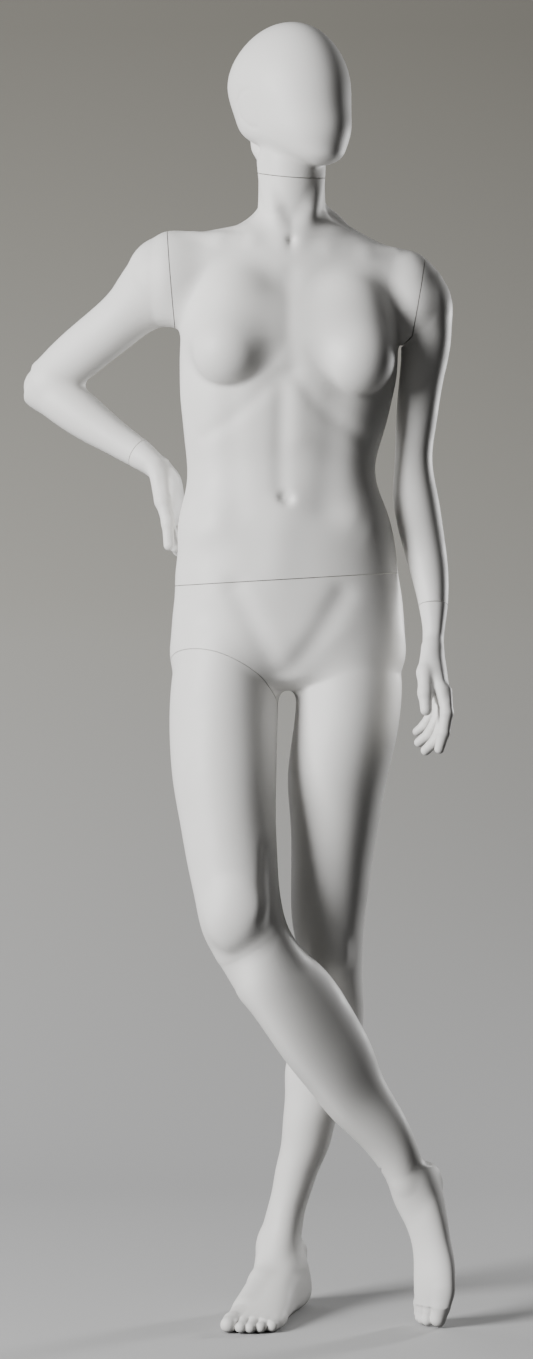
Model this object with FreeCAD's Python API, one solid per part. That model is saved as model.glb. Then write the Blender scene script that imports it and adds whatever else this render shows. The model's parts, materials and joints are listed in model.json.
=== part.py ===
"""Full body display mannequin, female, 1.79 m tall, in hollow glass fibre with steel fittings.

Frame: +Z up, the mannequin faces -Y and its left side is at +X. The origin is on the floor, at
the mouth of the support socket in the sole of its left foot. All values are in millimetres.

Each limb is a skin lofted through oval sections. A station is one such section:
(x, y, z, half width, half depth). The skin is hollowed by lofting the same stations again, one
wall thickness smaller, and the seams between the pieces are flat cuts through skin and hollow.
"""
import FreeCAD, Part
import math
import os

V = FreeCAD.Vector

WALL = 4.0                # glass fibre skin
GLUE = 0.6                # paste between a skin and the board that closes it
SEAM_GAP = 1.0            # open line between two pieces
BOARD = 12.0              # plywood board that closes a cut end
BOARD_RECESS = 4.0        # board face, below the edge of its skin
PLATE = 2.5               # steel fitting plates
PLATE_GAP = 3.5           # from the socket plate to the spigot plate, holds the washer
PLAY = 0.1                # running play between fitting pieces
WASHER_PLAY = 0.3         # around the spigot
SCREW_PLAY = 0.08
SPIGOT_LENGTH = 22.0
SCREW_RADIUS = 2.0
SCREW_LENGTH = 12.0
SCREW_HEAD_RADIUS = 3.8
SCREW_HEAD_HEIGHT = 1.8
SOCKET_WALL = 3.0
KEY_RADIUS = 2.5          # dowels that stop a keyed fitting from turning
KNUCKLE = 0.3             # how far a knuckle stands out from its finger
SOLE_ROUND = 6.0          # how far a foot section reaches under the floor before it is cut flat
TOE_LIFT = 0.92           # height of a toe's middle, as a share of its radius
TOE_FAN = 0.06            # how much the toes spread, as a share of their offset
FAR = 2500.0              # larger than the figure, for half spaces

FOOT_SOCKET_BORE = 5.1    # radius, takes a 10 mm support rod
FOOT_SOCKET_OUTER = 8.0
FOOT_SOCKET_DEPTH = 60.0
FOOT_SOCKET_CAP = 4.0

ANCHOR_RADIUS = 4.0       # stud that holds a spigot in a solid hand
ANCHOR_LENGTH = 16.0

# Outside of a skin, inside of a skin, and the edge of a board bonded into it.
INSETS = (0.0, WALL, WALL + GLUE)

# Seams: a point on the plane and the direction from the parent piece to the child piece.
WAIST = (V(5, -55, 1020), V(-0.058, 0.0, 1.0))
NECK = (V(12, -45, 1582), V(0.075, -0.18, 1.0))
RIGHT_SHOULDER = (V(-155, -45, 1440), V(-1.0, 0.0, -0.08))
LEFT_SHOULDER = (V(187, -45, 1411), V(1.0, 0.0, -0.17))
RIGHT_WRIST = (V(-203, 5, 1198), V(0.78, -0.37, -0.50))
LEFT_WRIST = (V(207, -80, 984), V(0.02, -0.27, -0.96))
RIGHT_THIGH = (V(-82, -60, 872), V(-0.366, -0.462, -0.808))
CROTCH = V(-4, -60, 865)
HOLLOW_LEG_STATIONS = -3  # the last stations of a leg are solid, like the foot
THIGH_ROOT_STATIONS = 5   # the first stations of the right leg, around its seam

# Balls around a joint, so that a cut there leaves the rest of the same piece alone.
RIGHT_SHOULDER_ZONE = Part.makeSphere(95, RIGHT_SHOULDER[0])
LEFT_SHOULDER_ZONE = Part.makeSphere(95, LEFT_SHOULDER[0])
RIGHT_WRIST_ZONE = Part.makeSphere(50, RIGHT_WRIST[0])
LEFT_WRIST_ZONE = Part.makeSphere(50, LEFT_WRIST[0])
NECK_ZONE = Part.makeSphere(70, NECK[0])
RIGHT_THIGH_ZONE = Part.makeSphere(260, RIGHT_THIGH[0])

# Trunk above the waist, horizontal sections.
RIBCAGE = [
    (6, -57, 990, 158, 101), (5, -56, 1030, 154, 99), (1, -57, 1090, 147, 89),
    (-2, -58, 1135, 135, 81), (-4, -58, 1180, 129, 78), (-1, -57, 1225, 137, 80),
    (3, -56, 1262, 144, 83), (5, -55, 1285, 147, 85), (7, -54, 1308, 149, 87),
    (8, -54, 1330, 151, 88), (9, -52, 1352, 151, 87), (10, -50, 1376, 150, 86),
    (11, -48, 1400, 149, 83), (13, -42, 1445, 118, 70), (12, -40, 1480, 75, 56),
]
# Breasts: apex (x, z) of each, how far they stand out, and their width and height.
BREASTS = [(-62, 1334), (101, 1324)]
BREAST_DEPTH = 50.0
BREAST_WIDTH = 44.0
BREAST_HEIGHT = 44.0
# Shoulder girdle from the right armhole to the left one, sections across the body.
GIRDLE = [
    (-175, -45, 1441, 47, 62), (-150, -45, 1441, 48, 62), (-92, -42, 1451, 59, 57),
    (-40, -38, 1456, 66, 66), (14, -36, 1460, 68, 72), (66, -38, 1453, 66, 66),
    (120, -42, 1435, 59, 58), (183, -45, 1412, 48, 59), (208, -45, 1407, 47, 58),
]
NECK_COLUMN = [
    (12, -38, 1470, 66, 60), (12, -38, 1515, 54, 56), (12, -40, 1545, 47, 52),
    (12, -45, 1582, 46, 52), (14, -50, 1610, 46, 52),
]
NECK_TOP = (14, -52, 1635, 40, 46)    # ends inside the head

# Pelvis, horizontal sections.
PELVIS = [
    (4, -57, 1060, 151, 94), (6, -57, 1030, 155, 97), (7, -56, 1000, 157, 98),
    (7, -55, 970, 160, 97), (7, -54, 940, 162, 96), (5, -54, 910, 162, 94), (4, -54, 880, 156, 88),
    (3, -54, 856, 118, 70),
]
# Buttocks: rearmost point (x, z) of each, how far they stand out, and their width and height.
BUTTOCKS = [(-70, 915), (82, 918)]
BUTTOCK_DEPTH = 24.0
BUTTOCK_WIDTH = 52.0
BUTTOCK_HEIGHT = 50.0
LEFT_LEG = [
    (88, -52, 930, 70, 86), (91, -50, 853, 73, 87), (83, -48, 790, 72, 82),
    (75, -45, 740, 68, 77), (72, -42, 687, 62, 71), (68, -40, 632, 57, 65),
    (64, -37, 565, 52, 60), (66, -32, 500, 46, 56), (67, -27, 455, 45, 54),
    (63, -15, 385, 50, 55), (51, -7, 325, 46, 51), (37, 0, 261, 37, 45),
    (20, 5, 192, 31, 37), (5, 8, 137, 27, 35), (-2, 4, 100, 29, 38), (-4, 0, 70, 31, 44),
]
# Left foot: distance forward from the heel, half width, height of the instep.
HEEL = V(20, 34, 0)
FOOT_YAW = 14.8           # toes point this many degrees to the right of straight ahead
LEFT_FOOT = [
    (2, 17, 40), (16, 28, 66), (45, 32, 88), (80, 33, 82), (112, 37, 62),
    (142, 42, 46), (170, 45, 33), (188, 44, 27),
]
LEFT_TOES = [              # offset to the right, length, radius
    (33, 52, 13.0), (13, 49, 9.5), (-4, 43, 9.0), (-19, 36, 8.5), (-33, 27, 8.5),
]
TOE_ROOT = 172

RIGHT_LEG = [
    (-78, -42, 965, 74, 88), (-81, -55, 905, 76, 90), (-82, -65, 853, 76, 88), (-82, -80, 792, 74, 82),
    (-80, -95, 743, 71, 76), (-76, -108, 694, 66, 70), (-70, -122, 640, 62, 64),
    (-62, -136, 585, 58, 60), (-50, -146, 535, 56, 57), (-27, -150, 488, 56, 55),
    (10, -148, 447, 58, 54), (48, -142, 399, 57, 52), (80, -135, 353, 50, 48),
    (103, -128, 312, 42, 43), (137, -119, 267, 34, 37), (158, -112, 230, 29, 33),
    (176, -102, 196, 30, 34), (184, -98, 176, 30, 36),
]
# Right foot on its toes, horizontal sections.
RIGHT_FOOT = [
    (184, -93, 206, 26, 34), (187, -96, 182, 35, 44), (193, -106, 146, 29, 39),
    (200, -114, 117, 27, 33), (205, -122, 88, 26, 27), (206, -128, 60, 26, 22),
    (205, -132, 42, 25, 18),
]
RIGHT_TOES = [             # offset to the left, length, radius
    (17, 48, 11.5), (4, 46, 8.5), (-5, 43, 8.0), (-13, 40, 7.5), (-20, 36, 7.0),
]

RIGHT_UPPER_ARM = [
    (-135, -45, 1441, 47, 62), (-160, -45, 1440, 47, 62), (-184, -42, 1428, 45, 56),
    (-208, -28, 1405, 42, 45), (-232, -6, 1382, 39, 40), (-268, 22, 1354, 37, 37),
    (-303, 49, 1327, 35, 35), (-334, 72, 1303, 34, 34),
]
RIGHT_ELBOW = (V(-337, 76, 1298), V(35, 33, 35))
RIGHT_FOREARM = [
    (-344, 76, 1301, 33, 34), (-312, 58, 1276, 31, 30), (-268, 37, 1243, 28, 27),
    (-232, 19, 1217, 24, 23), (-203, 5, 1198, 23, 20), (-180, -6, 1183, 23, 18),
]
LEFT_DELTOID = (V(184, -45, 1409), V(45, 47, 60))
LEFT_ARM = [
    (190, -46, 1425, 42, 34), (196, -45, 1385, 42, 35), (197, -43, 1343, 37, 31),
    (190, -38, 1293, 35, 28), (184, -32, 1235, 33, 27), (182, -28, 1185, 32, 26),
    (185, -33, 1132, 36, 31), (191, -46, 1085, 34, 30), (200, -64, 1036, 30, 26),
    (207, -80, 984, 27, 20), (208, -88, 955, 26, 16),
]

# Hands: the palm is a station list, each digit a root-to-tip path with its radii.
RIGHT_PALM = [
    (-215, 11, 1206, 24, 21), (-200, 4, 1196, 23, 20), (-176, -9, 1176, 24, 17),
    (-165, -14, 1148, 32, 15),
    (-164, -9, 1122, 37, 13), (-162, -2, 1100, 35, 10),
]
RIGHT_DIGITS = [
    [(-163, -35, 1106, 9.5), (-164, -28, 1086, 9), (-160, -13, 1068, 8.5), (-150, 4, 1054, 7)],
    [(-163, -14, 1102, 9.5), (-163, -4, 1078, 9), (-156, 12, 1060, 8.5), (-144, 27, 1047, 7)],
    [(-162, 7, 1100, 9), (-160, 17, 1079, 9), (-151, 32, 1062, 8), (-138, 43, 1051, 7)],
    [(-160, 24, 1104, 8.5), (-156, 33, 1088, 8), (-147, 43, 1075, 7), (-136, 50, 1066, 6)],
    [(-166, -34, 1158, 12), (-169, -49, 1128, 11), (-167, -55, 1095, 9.5), (-164, -58, 1066, 8)],
]
LEFT_PALM = [
    (206, -74, 1002, 28, 22), (207, -81, 981, 27, 20), (207, -92, 950, 25, 15),
    (206, -99, 930, 27, 15), (209, -108, 905, 34, 15), (214, -114, 880, 38, 13),
    (216, -117, 862, 37, 11),
]
LEFT_DIGITS = [
    [(220, -146, 868, 9.5), (222, -156, 838, 9), (219, -159, 812, 8), (212, -156, 788, 7)],
    [(218, -126, 864, 9.5), (218, -136, 828, 9), (209, -141, 802, 8.5), (193, -138, 786, 7)],
    [(215, -106, 862, 9), (211, -114, 830, 8.5), (199, -116, 808, 8), (185, -112, 797, 7)],
    [(211, -88, 864, 8.5), (206, -93, 838, 8), (195, -94, 820, 7), (183, -90, 811, 6)],
    [(200, -118, 922, 13), (193, -138, 893, 11.5), (193, -150, 866, 9.5), (194, -156, 842, 8)],
]

# Blank head: horizontal sections in its own frame, +Y towards the back of the head.
HEAD_CENTRE = V(10, -52, 1690)
HEAD_TURN = 42.0          # degrees towards the mannequin's left
HEAD = [
    (0, -64, -99, 12, 11), (0, -60, -93, 27, 27), (0, -46, -82, 40, 47), (0, -18, -62, 56, 82),
    (0, -7, -29, 66, 93), (0, 3, 14, 72, 98), (0, 6, 48, 66, 89), (0, 8, 75, 50, 68),
    (0, 8, 93, 30, 42), (0, 8, 101, 12, 17),
]


def unit(vector):
    return V(vector).normalize()


def oval(centre, across, deep, half_width, half_depth, points=18):
    """Points round an oval."""
    outline = []
    for k in range(points):
        angle = 2 * math.pi * k / points
        point = centre + across * (half_width * math.cos(angle))
        outline.append(point + deep * (half_depth * math.sin(angle)))
    return outline


def smooth(outline):
    """A closed smooth wire through points."""
    curve = Part.BSplineCurve()
    curve.interpolate(outline, PeriodicFlag=True)
    return Part.Wire(curve.toShape())


def section(centre, across, deep, half_width, half_depth):
    return smooth(oval(centre, across, deep, half_width, half_depth))


def tower(stations, inset=0.0):
    """A skin lofted through horizontal sections."""
    wires = []
    for x, y, z, half_width, half_depth in stations:
        wires.append(section(V(x, y, z), V(1, 0, 0), V(0, 1, 0), half_width - inset, half_depth - inset))
    return Part.makeLoft(wires, True, False)


def limb(stations, side, inset=0.0):
    """A skin lofted through sections square to the path. Half width lies along side."""
    centres = [V(*station[:3]) for station in stations]
    wires = []
    for k, station in enumerate(stations):
        before = centres[max(k - 1, 0)]
        after = centres[min(k + 1, len(centres) - 1)]
        along = unit(after - before)
        across = unit(side - along * side.dot(along))
        deep = along.cross(across)
        wires.append(section(centres[k], across, deep, station[3] - inset, station[4] - inset))
    return Part.makeLoft(wires, True, False)


def egg(centre, radii, inset=0.0):
    """An ellipsoid."""
    scale = FreeCAD.Matrix()
    scale.scale(radii.x - inset, radii.y - inset, radii.z - inset)
    ball = Part.makeSphere(1.0).transformGeometry(scale)
    ball.translate(centre)
    return ball


def beyond(point, direction, offset=0.0):
    """The half space past a plane, on the side that direction points to."""
    block = Part.makeBox(2 * FAR, 2 * FAR, FAR, V(-FAR, -FAR, 0))
    block.Placement = FreeCAD.Placement(V(0, 0, 0), FreeCAD.Rotation(V(0, 0, 1), direction))
    block.translate(point + unit(direction) * offset)
    return block


def between(shape, low, high):
    """The layer of a shape between two heights."""
    return shape.common(Part.makeBox(2 * FAR, 2 * FAR, high - low, V(-FAR, -FAR, low)))


def slab(seam, start, end):
    """The layer between two offsets from a seam plane."""
    point, direction = seam
    return beyond(point, direction, start).cut(beyond(point, direction, end))


def on_seam(shape, seam):
    """Moves a shape built around +Z at the origin to a seam, +Z towards the child piece."""
    point, direction = seam
    moved = shape.copy()
    moved.Placement = FreeCAD.Placement(point, FreeCAD.Rotation(V(0, 0, 1), direction))
    return moved


def rod(radius, start, end, x=0.0, y=0.0):
    return Part.makeCylinder(radius, end - start, V(x, y, start))


def fused(shapes):
    whole = shapes[0]
    for shape in shapes[1:]:
        whole = whole.fuse(shape)
    return whole


def write(name, shape):
    shape.exportStep("parts/" + name + ".step")


def digit(path):
    """A finger or toe: round sections along a path, with a domed tip."""
    shapes = []
    for x, y, z, radius in path:
        shapes.append(Part.makeSphere(radius + KNUCKLE, V(x, y, z)))
    for (x1, y1, z1, r1), (x2, y2, z2, r2) in zip(path, path[1:]):
        start = V(x1, y1, z1)
        run = V(x2, y2, z2) - start
        if r1 == r2:
            shapes.append(Part.makeCylinder(r1, run.Length, start, run))
        else:
            shapes.append(Part.makeCone(r1, r2, run.Length, start, run))
    return shapes


# ---------------------------------------------------------------- skins

def rounds(point, peaks, width, height):
    """A smooth pair of rounds, 1 at each peak (x, z)."""
    return sum(math.exp(-((point.x - x) / width) ** 2 - ((point.z - z) / height) ** 2) for x, z in peaks)


def rounded_tower(stations, inset, side, peaks, depth, width, height):
    """A tower whose front (side -1) or back (side 1) stands out in a pair of rounds."""
    wires = []
    for x, y, z, half_width, half_depth in stations:
        outline = oval(V(x, y, z), V(1, 0, 0), V(0, 1, 0), half_width - inset, half_depth - inset, 36)
        pushed = []
        for p in outline:
            facing = max(0.0, side * (p.y - y) / half_depth)
            pushed.append(p + V(0, side * depth * facing * rounds(p, peaks, width, height), 0))
        wires.append(smooth(pushed))
    return Part.makeLoft(wires, True, False)


def trunk(inset):
    """Everything above the waist seam except the arms."""
    chest = rounded_tower(RIBCAGE, inset, -1, BREASTS, BREAST_DEPTH, BREAST_WIDTH, BREAST_HEIGHT)
    return fused([chest, limb(GIRDLE, V(0, 1, 0), inset), tower(NECK_COLUMN, inset)])


def hips(inset):
    """Pelvis and buttocks, with the root of the right thigh."""
    pelvis = rounded_tower(PELVIS, inset, 1, BUTTOCKS, BUTTOCK_DEPTH, BUTTOCK_WIDTH, BUTTOCK_HEIGHT)
    pelvis = between(pelvis, PELVIS[-1][2] + inset, PELVIS[0][2])
    return fused([pelvis, limb(RIGHT_LEG[:THIGH_ROOT_STATIONS], V(1, 0, 0), inset)])


def head_volume(inset):
    """Blank head in its turned position, with the stub of the neck."""
    skull = between(tower(HEAD, inset), HEAD[0][2] + inset, HEAD[-1][2] - inset)
    skull.rotate(V(0, 0, 0), V(0, 0, 1), HEAD_TURN)
    skull.translate(HEAD_CENTRE)
    stub = tower(NECK_COLUMN[2:] + [NECK_TOP], inset)
    return fused([skull, stub])


def left_foot():
    """Solid left foot, flat under the sole."""
    yaw = math.radians(FOOT_YAW)
    forward = V(-math.sin(yaw), -math.cos(yaw), 0)
    across = V(-math.cos(yaw), math.sin(yaw), 0)
    wires = []
    for distance, half_width, height in LEFT_FOOT:
        middle = HEEL + forward * distance + V(0, 0, (height - SOLE_ROUND) / 2)
        wires.append(section(middle, across, V(0, 0, 1), half_width, (height + SOLE_ROUND) / 2))
    parts = [Part.makeLoft(wires, True, False)]
    for offset, length, radius in LEFT_TOES:
        root = HEEL + forward * TOE_ROOT + across * offset
        tip = root + forward * (length - radius) + across * (offset * TOE_FAN)
        lift = radius * TOE_LIFT
        path = [(root.x, root.y, lift + 3, radius), (tip.x, tip.y, lift, radius)]
        parts += digit(path)
    return fused(parts).common(beyond(V(0, 0, 0), V(0, 0, 1)))


def right_foot():
    """Solid right foot, standing on its toes."""
    parts = [tower(RIGHT_FOOT)]
    x, y, z = RIGHT_FOOT[-1][:3]
    for offset, length, radius in RIGHT_TOES:
        root = (x + offset, y, z + 4, radius)
        tip = (x + offset * 0.9, y - 4, z - length + 1.6 * radius, radius)
        parts += digit([root, tip])
    return fused(parts).common(beyond(V(0, 0, 0), V(0, 0, 1)))


def hand(palm, digits, side):
    parts = [limb(palm, side)]
    for path in digits:
        parts += digit(path)
    return fused(parts)


# ---------------------------------------------------------------- fittings

class Fitting:
    """Steel spigot and socket that join two pieces across a seam."""

    def __init__(self, name, seam, spigot_radius, plate_radius, screws=4, keyed=False):
        self.name = name
        self.seam = seam
        self.spigot_radius = spigot_radius
        self.plate_radius = plate_radius
        self.screws = screws
        self.keyed = keyed
        self.low_plate = -BOARD_RECESS + PLATE
        self.high_plate = self.low_plate + PLATE_GAP
        self.high_board = self.high_plate + PLATE
        self.circle = (spigot_radius + SOCKET_WALL + plate_radius) / 2

    def screw_places(self):
        angles = [2 * math.pi * (k + 0.5) / self.screws for k in range(self.screws)]
        return [(self.circle * math.cos(angle), self.circle * math.sin(angle)) for angle in angles]

    def screw_set(self, face, up, play=0.0):
        """Countersunk screws with their heads flush in a plate face at height face."""
        shapes = []
        for x, y in self.screw_places():
            way = V(0, 0, -1 if up else 1)
            head = Part.makeCone(SCREW_HEAD_RADIUS + play, SCREW_RADIUS + play,
                                 SCREW_HEAD_HEIGHT, V(x, y, face), way)
            shank = Part.makeCylinder(SCREW_RADIUS + play, SCREW_LENGTH + play, V(x, y, face), way)
            shapes.append(head.fuse(shank).removeSplitter())
        return shapes

    def keys(self, play=0.0):
        """Two dowels that stop a keyed fitting from turning."""
        reach = SPIGOT_LENGTH / 2
        return [rod(KEY_RADIUS + play, self.high_plate - reach - play, self.high_plate + 0.5, x)
                for x in (-self.circle, self.circle)]

    def socket(self):
        r = self.spigot_radius + PLAY / 2
        bottom = self.low_plate - SPIGOT_LENGTH - SOCKET_WALL
        body = rod(self.plate_radius, self.low_plate - PLATE, self.low_plate)
        body = body.fuse(rod(r + SOCKET_WALL, bottom, self.low_plate - PLATE / 2))
        body = body.cut(rod(r, bottom + SOCKET_WALL, self.low_plate + 1))
        for cutter in self.screw_set(self.low_plate, True, SCREW_PLAY):
            body = body.cut(cutter)
        if self.keyed:
            for cutter in self.keys(PLAY):
                body = body.cut(cutter)
        return body.removeSplitter()

    def spigot(self):
        body = rod(self.plate_radius, self.high_plate, self.high_board)
        tip = self.low_plate - SPIGOT_LENGTH + 1.0
        body = body.fuse(rod(self.spigot_radius, tip, self.high_plate + 0.5))
        if self.keyed:
            body = body.fuse(self.keys())
        for cutter in self.screw_set(self.high_plate, False, SCREW_PLAY):
            body = body.cut(cutter)
        return body.removeSplitter()

    def washer(self):
        inner = self.spigot_radius + WASHER_PLAY
        ring = rod(self.plate_radius - 1, self.low_plate + PLAY, self.high_plate - PLAY)
        ring = ring.cut(rod(inner, self.low_plate - 1, self.high_plate + 1))
        if self.keyed:
            for cutter in self.keys(PLAY):
                ring = ring.cut(cutter)
        return ring

    def lower_board(self, hollow):
        board = hollow.common(slab(self.seam, -BOARD_RECESS - BOARD, -BOARD_RECESS))
        bore = rod(self.spigot_radius + PLAY / 2 + SOCKET_WALL + PLAY, -2 * SPIGOT_LENGTH, BOARD)
        board = board.cut(on_seam(bore, self.seam))
        for cutter in self.screw_set(self.low_plate, True, SCREW_PLAY):
            board = board.cut(on_seam(cutter, self.seam))
        if self.keyed:
            for cutter in self.keys(PLAY):
                board = board.cut(on_seam(cutter, self.seam))
        return board

    def upper_board(self, hollow):
        board = hollow.common(slab(self.seam, self.high_board, self.high_board + BOARD))
        for cutter in self.screw_set(self.high_plate, False, SCREW_PLAY):
            board = board.cut(on_seam(cutter, self.seam))
        return board

    def write_metal(self):
        pieces = {"socket": self.socket(), "spigot": self.spigot(), "washer": self.washer()}
        if self.screws:
            pieces["socket_screws"] = Part.makeCompound(self.screw_set(self.low_plate, True))
            pieces["spigot_screws"] = Part.makeCompound(self.screw_set(self.high_plate, False))
        for part, shape in pieces.items():
            write(self.name + "_" + part, on_seam(shape, self.seam))


class WristFitting(Fitting):
    """A small fitting whose spigot is cast into a solid hand by its anchor stud."""

    def spigot(self):
        anchor = rod(ANCHOR_RADIUS, self.high_board - 0.5, self.high_board + ANCHOR_LENGTH)
        return super().spigot().fuse(anchor).removeSplitter()

    def seat(self):
        """The space that the plate and its anchor take in the hand."""
        plate = rod(self.plate_radius + GLUE, 0, self.high_board + GLUE)
        return on_seam(plate.fuse(rod(ANCHOR_RADIUS + GLUE, 0, self.high_board + ANCHOR_LENGTH + GLUE)),
                       self.seam)


def before(shape, seam, zone):
    """A shape without what lies past a seam, inside a zone around the joint."""
    return shape.cut(beyond(*seam).common(zone))


def after(shape, seam):
    """The part of a shape on the child side of a seam, short of it by the open line."""
    return shape.common(beyond(*seam, SEAM_GAP))


# ---------------------------------------------------------------- pieces

def torso_piece():
    outside, hollow, bonded = (trunk(inset) for inset in INSETS)
    skin = after(outside.cut(hollow), WAIST)
    ends = ((neck, NECK_ZONE), (right_shoulder, RIGHT_SHOULDER_ZONE),
            (left_shoulder, LEFT_SHOULDER_ZONE))
    for fitting, zone in ends:
        skin = before(skin, fitting.seam, zone)
        write(fitting.name + "_socket_board", fitting.lower_board(bonded.common(zone)))
    write("torso_shell", skin)
    write("waist_spigot_board", waist.upper_board(bonded))


def lower_body_piece():
    outside, hollow, bonded = (hips(inset) for inset in INSETS)
    leg, leg_hollow = tower(LEFT_LEG), tower(LEFT_LEG[:HOLLOW_LEG_STATIONS], WALL)
    skin = fused([outside, leg, left_foot()]).cut(fused([hollow, leg_hollow]))
    thigh_hole = beyond(*RIGHT_THIGH).common(beyond(CROTCH, V(-1, 0, 0))).common(RIGHT_THIGH_ZONE)
    skin = skin.cut(beyond(*WAIST)).cut(thigh_hole)
    skin = skin.cut(rod(FOOT_SOCKET_OUTER + GLUE, -1, FOOT_SOCKET_DEPTH + FOOT_SOCKET_CAP + GLUE))
    write("lower_body_shell", skin)
    write("waist_socket_board", waist.lower_board(bonded))
    stub = limb(RIGHT_LEG[:THIGH_ROOT_STATIONS], V(1, 0, 0), WALL + GLUE)
    write("thigh_socket_board", thigh.lower_board(bonded.common(stub)))


def foot_socket_piece():
    tube = rod(FOOT_SOCKET_OUTER, 0, FOOT_SOCKET_DEPTH + FOOT_SOCKET_CAP)
    write("foot_socket", tube.cut(rod(FOOT_SOCKET_BORE, -1, FOOT_SOCKET_DEPTH)))


def right_leg_piece():
    outside = fused([limb(RIGHT_LEG, V(1, 0, 0)), right_foot()])
    hollow = limb(RIGHT_LEG[:HOLLOW_LEG_STATIONS], V(1, 0, 0), WALL)
    bonded = limb(RIGHT_LEG[:THIGH_ROOT_STATIONS], V(1, 0, 0), WALL + GLUE)
    write("right_leg_shell", after(outside.cut(hollow), RIGHT_THIGH))
    write("thigh_spigot_board", thigh.upper_board(bonded))


def right_arm_volume(inset):
    return fused([limb(RIGHT_UPPER_ARM, V(0, 1, 0), inset), egg(*RIGHT_ELBOW, inset),
                  limb(RIGHT_FOREARM, V(0, 1, 0), inset)])


def left_arm_volume(inset):
    return fused([egg(*LEFT_DELTOID, inset), limb(LEFT_ARM, V(0, 1, 0), inset)])


def arm_piece(name, volume, shoulder, shoulder_zone, wrist, wrist_zone):
    outside, hollow, bonded = (volume(inset) for inset in INSETS)
    torso_side = beyond(shoulder.seam[0], -shoulder.seam[1], -SEAM_GAP)
    skin = outside.cut(hollow).cut(torso_side.common(shoulder_zone))
    write(name + "_shell", before(skin, wrist.seam, wrist_zone))
    write(shoulder.name + "_spigot_board", shoulder.upper_board(bonded.common(shoulder_zone)))
    write(wrist.name + "_socket_board", wrist.lower_board(bonded.common(wrist_zone)))


def hand_piece(name, palm, digits, wrist):
    solid = after(hand(palm, digits, V(0, 1, 0)), wrist.seam)
    write(name, solid.cut(wrist.seat()))


def head_piece():
    outside, hollow, bonded = (head_volume(inset) for inset in INSETS)
    write("head_shell", after(outside.cut(hollow), NECK))
    write("neck_spigot_board", neck.upper_board(bonded))


waist = Fitting("waist", WAIST, 20, 42)
neck = Fitting("neck", NECK, 10, 28)
right_shoulder = Fitting("right_shoulder", RIGHT_SHOULDER, 12, 32)
left_shoulder = Fitting("left_shoulder", LEFT_SHOULDER, 12, 32)
thigh = Fitting("thigh", RIGHT_THIGH, 16, 38, keyed=True)
right_wrist = WristFitting("right_wrist", RIGHT_WRIST, 5, 11, screws=0)
left_wrist = WristFitting("left_wrist", LEFT_WRIST, 5, 11, screws=0)

os.makedirs("parts", exist_ok=True)
for fitting in (waist, neck, right_shoulder, left_shoulder, thigh, right_wrist, left_wrist):
    fitting.write_metal()
torso_piece()
lower_body_piece()
foot_socket_piece()
right_leg_piece()
arm_piece("right_arm", right_arm_volume, right_shoulder, RIGHT_SHOULDER_ZONE,
          right_wrist, RIGHT_WRIST_ZONE)
arm_piece("left_arm", left_arm_volume, left_shoulder, LEFT_SHOULDER_ZONE,
          left_wrist, LEFT_WRIST_ZONE)
hand_piece("right_hand", RIGHT_PALM, RIGHT_DIGITS, right_wrist)
hand_piece("left_hand", LEFT_PALM, LEFT_DIGITS, left_wrist)
head_piece()
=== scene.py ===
"""Looks of a full body display mannequin, sculpted as smooth implicit volumes around its CAD frame.

Every skin piece is the zero surface of a field: a signed distance in millimetres, built from columns
(solids splined through oval sections), eggs and rods that are blended smoothly together, with
grooves drawn on them. The field is meshed by surface nets, moved onto the exact surface, and cut
flat at the seams that the frame's joints give.
"""
import bpy
import bmesh
import json
import math
import numpy as np
from concurrent.futures import ThreadPoolExecutor
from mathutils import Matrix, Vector


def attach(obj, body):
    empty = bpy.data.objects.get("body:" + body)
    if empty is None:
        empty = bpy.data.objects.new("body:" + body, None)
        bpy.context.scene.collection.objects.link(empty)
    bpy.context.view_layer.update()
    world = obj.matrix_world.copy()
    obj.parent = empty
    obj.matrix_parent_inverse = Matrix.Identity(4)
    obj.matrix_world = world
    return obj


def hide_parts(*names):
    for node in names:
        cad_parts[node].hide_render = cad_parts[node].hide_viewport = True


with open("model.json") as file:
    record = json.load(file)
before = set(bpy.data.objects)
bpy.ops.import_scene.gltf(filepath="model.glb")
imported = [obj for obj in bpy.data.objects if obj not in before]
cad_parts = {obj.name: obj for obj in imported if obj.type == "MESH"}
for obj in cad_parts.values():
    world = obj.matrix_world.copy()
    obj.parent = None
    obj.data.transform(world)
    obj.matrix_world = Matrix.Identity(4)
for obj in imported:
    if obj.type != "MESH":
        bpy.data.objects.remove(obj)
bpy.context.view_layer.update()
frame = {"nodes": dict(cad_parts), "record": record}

MM = 0.001                  # the sculpt works in millimetres, Blender in metres
COARSE = 8.0                # first sampling of a field, on the body
SKIN_STEPS = 3
HAND_COARSE = 4.0
HAND_STEPS = SKIN_STEPS     # fine samples per coarse one
FOOT_COARSE = 5.2
FOOT_STEPS = 4
SPLINE_STEP = 0.5           # spacing of the tables made from splines
NEAR_SURFACE = 1.9          # coarse cells within which the surface may lie
SEAM_GAP = 1.0              # open line between two pieces
OVERCUT = 1.0               # how far a hollow's tool starts outside the skin
CORE_MARGIN = 8.0           # field sampled past both ends of a hollow's tool
LIP = 4.0                   # wall thickness shown at a cut
LIP_DEPTH = 18.0            # how deep an open end is hollowed
BOARD = 12.0                # thickness of the plywood
SOCKET_BOARD_RECESS = 4.0   # from the seam down to a socket's board
SPIGOT_BOARD_START = 4.5    # from the seam up to a spigot's board
BOARD_BORE = (-60.0, 10.0)  # ends of the tool that bores a socket's board
GLUE = 0.6                  # gap between a board and the wall
SCRAP = 100                 # a loose part with fewer points than this is a sliver of a cut
SHARP_ANGLE = 38.0          # edges bent more than this stay sharp, in degrees
ASKEW = (0.31, 0.23, 0.92)  # a direction that no seam has, to build axes from
UP = np.array((0.0, 0.0, 1.0))
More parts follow.
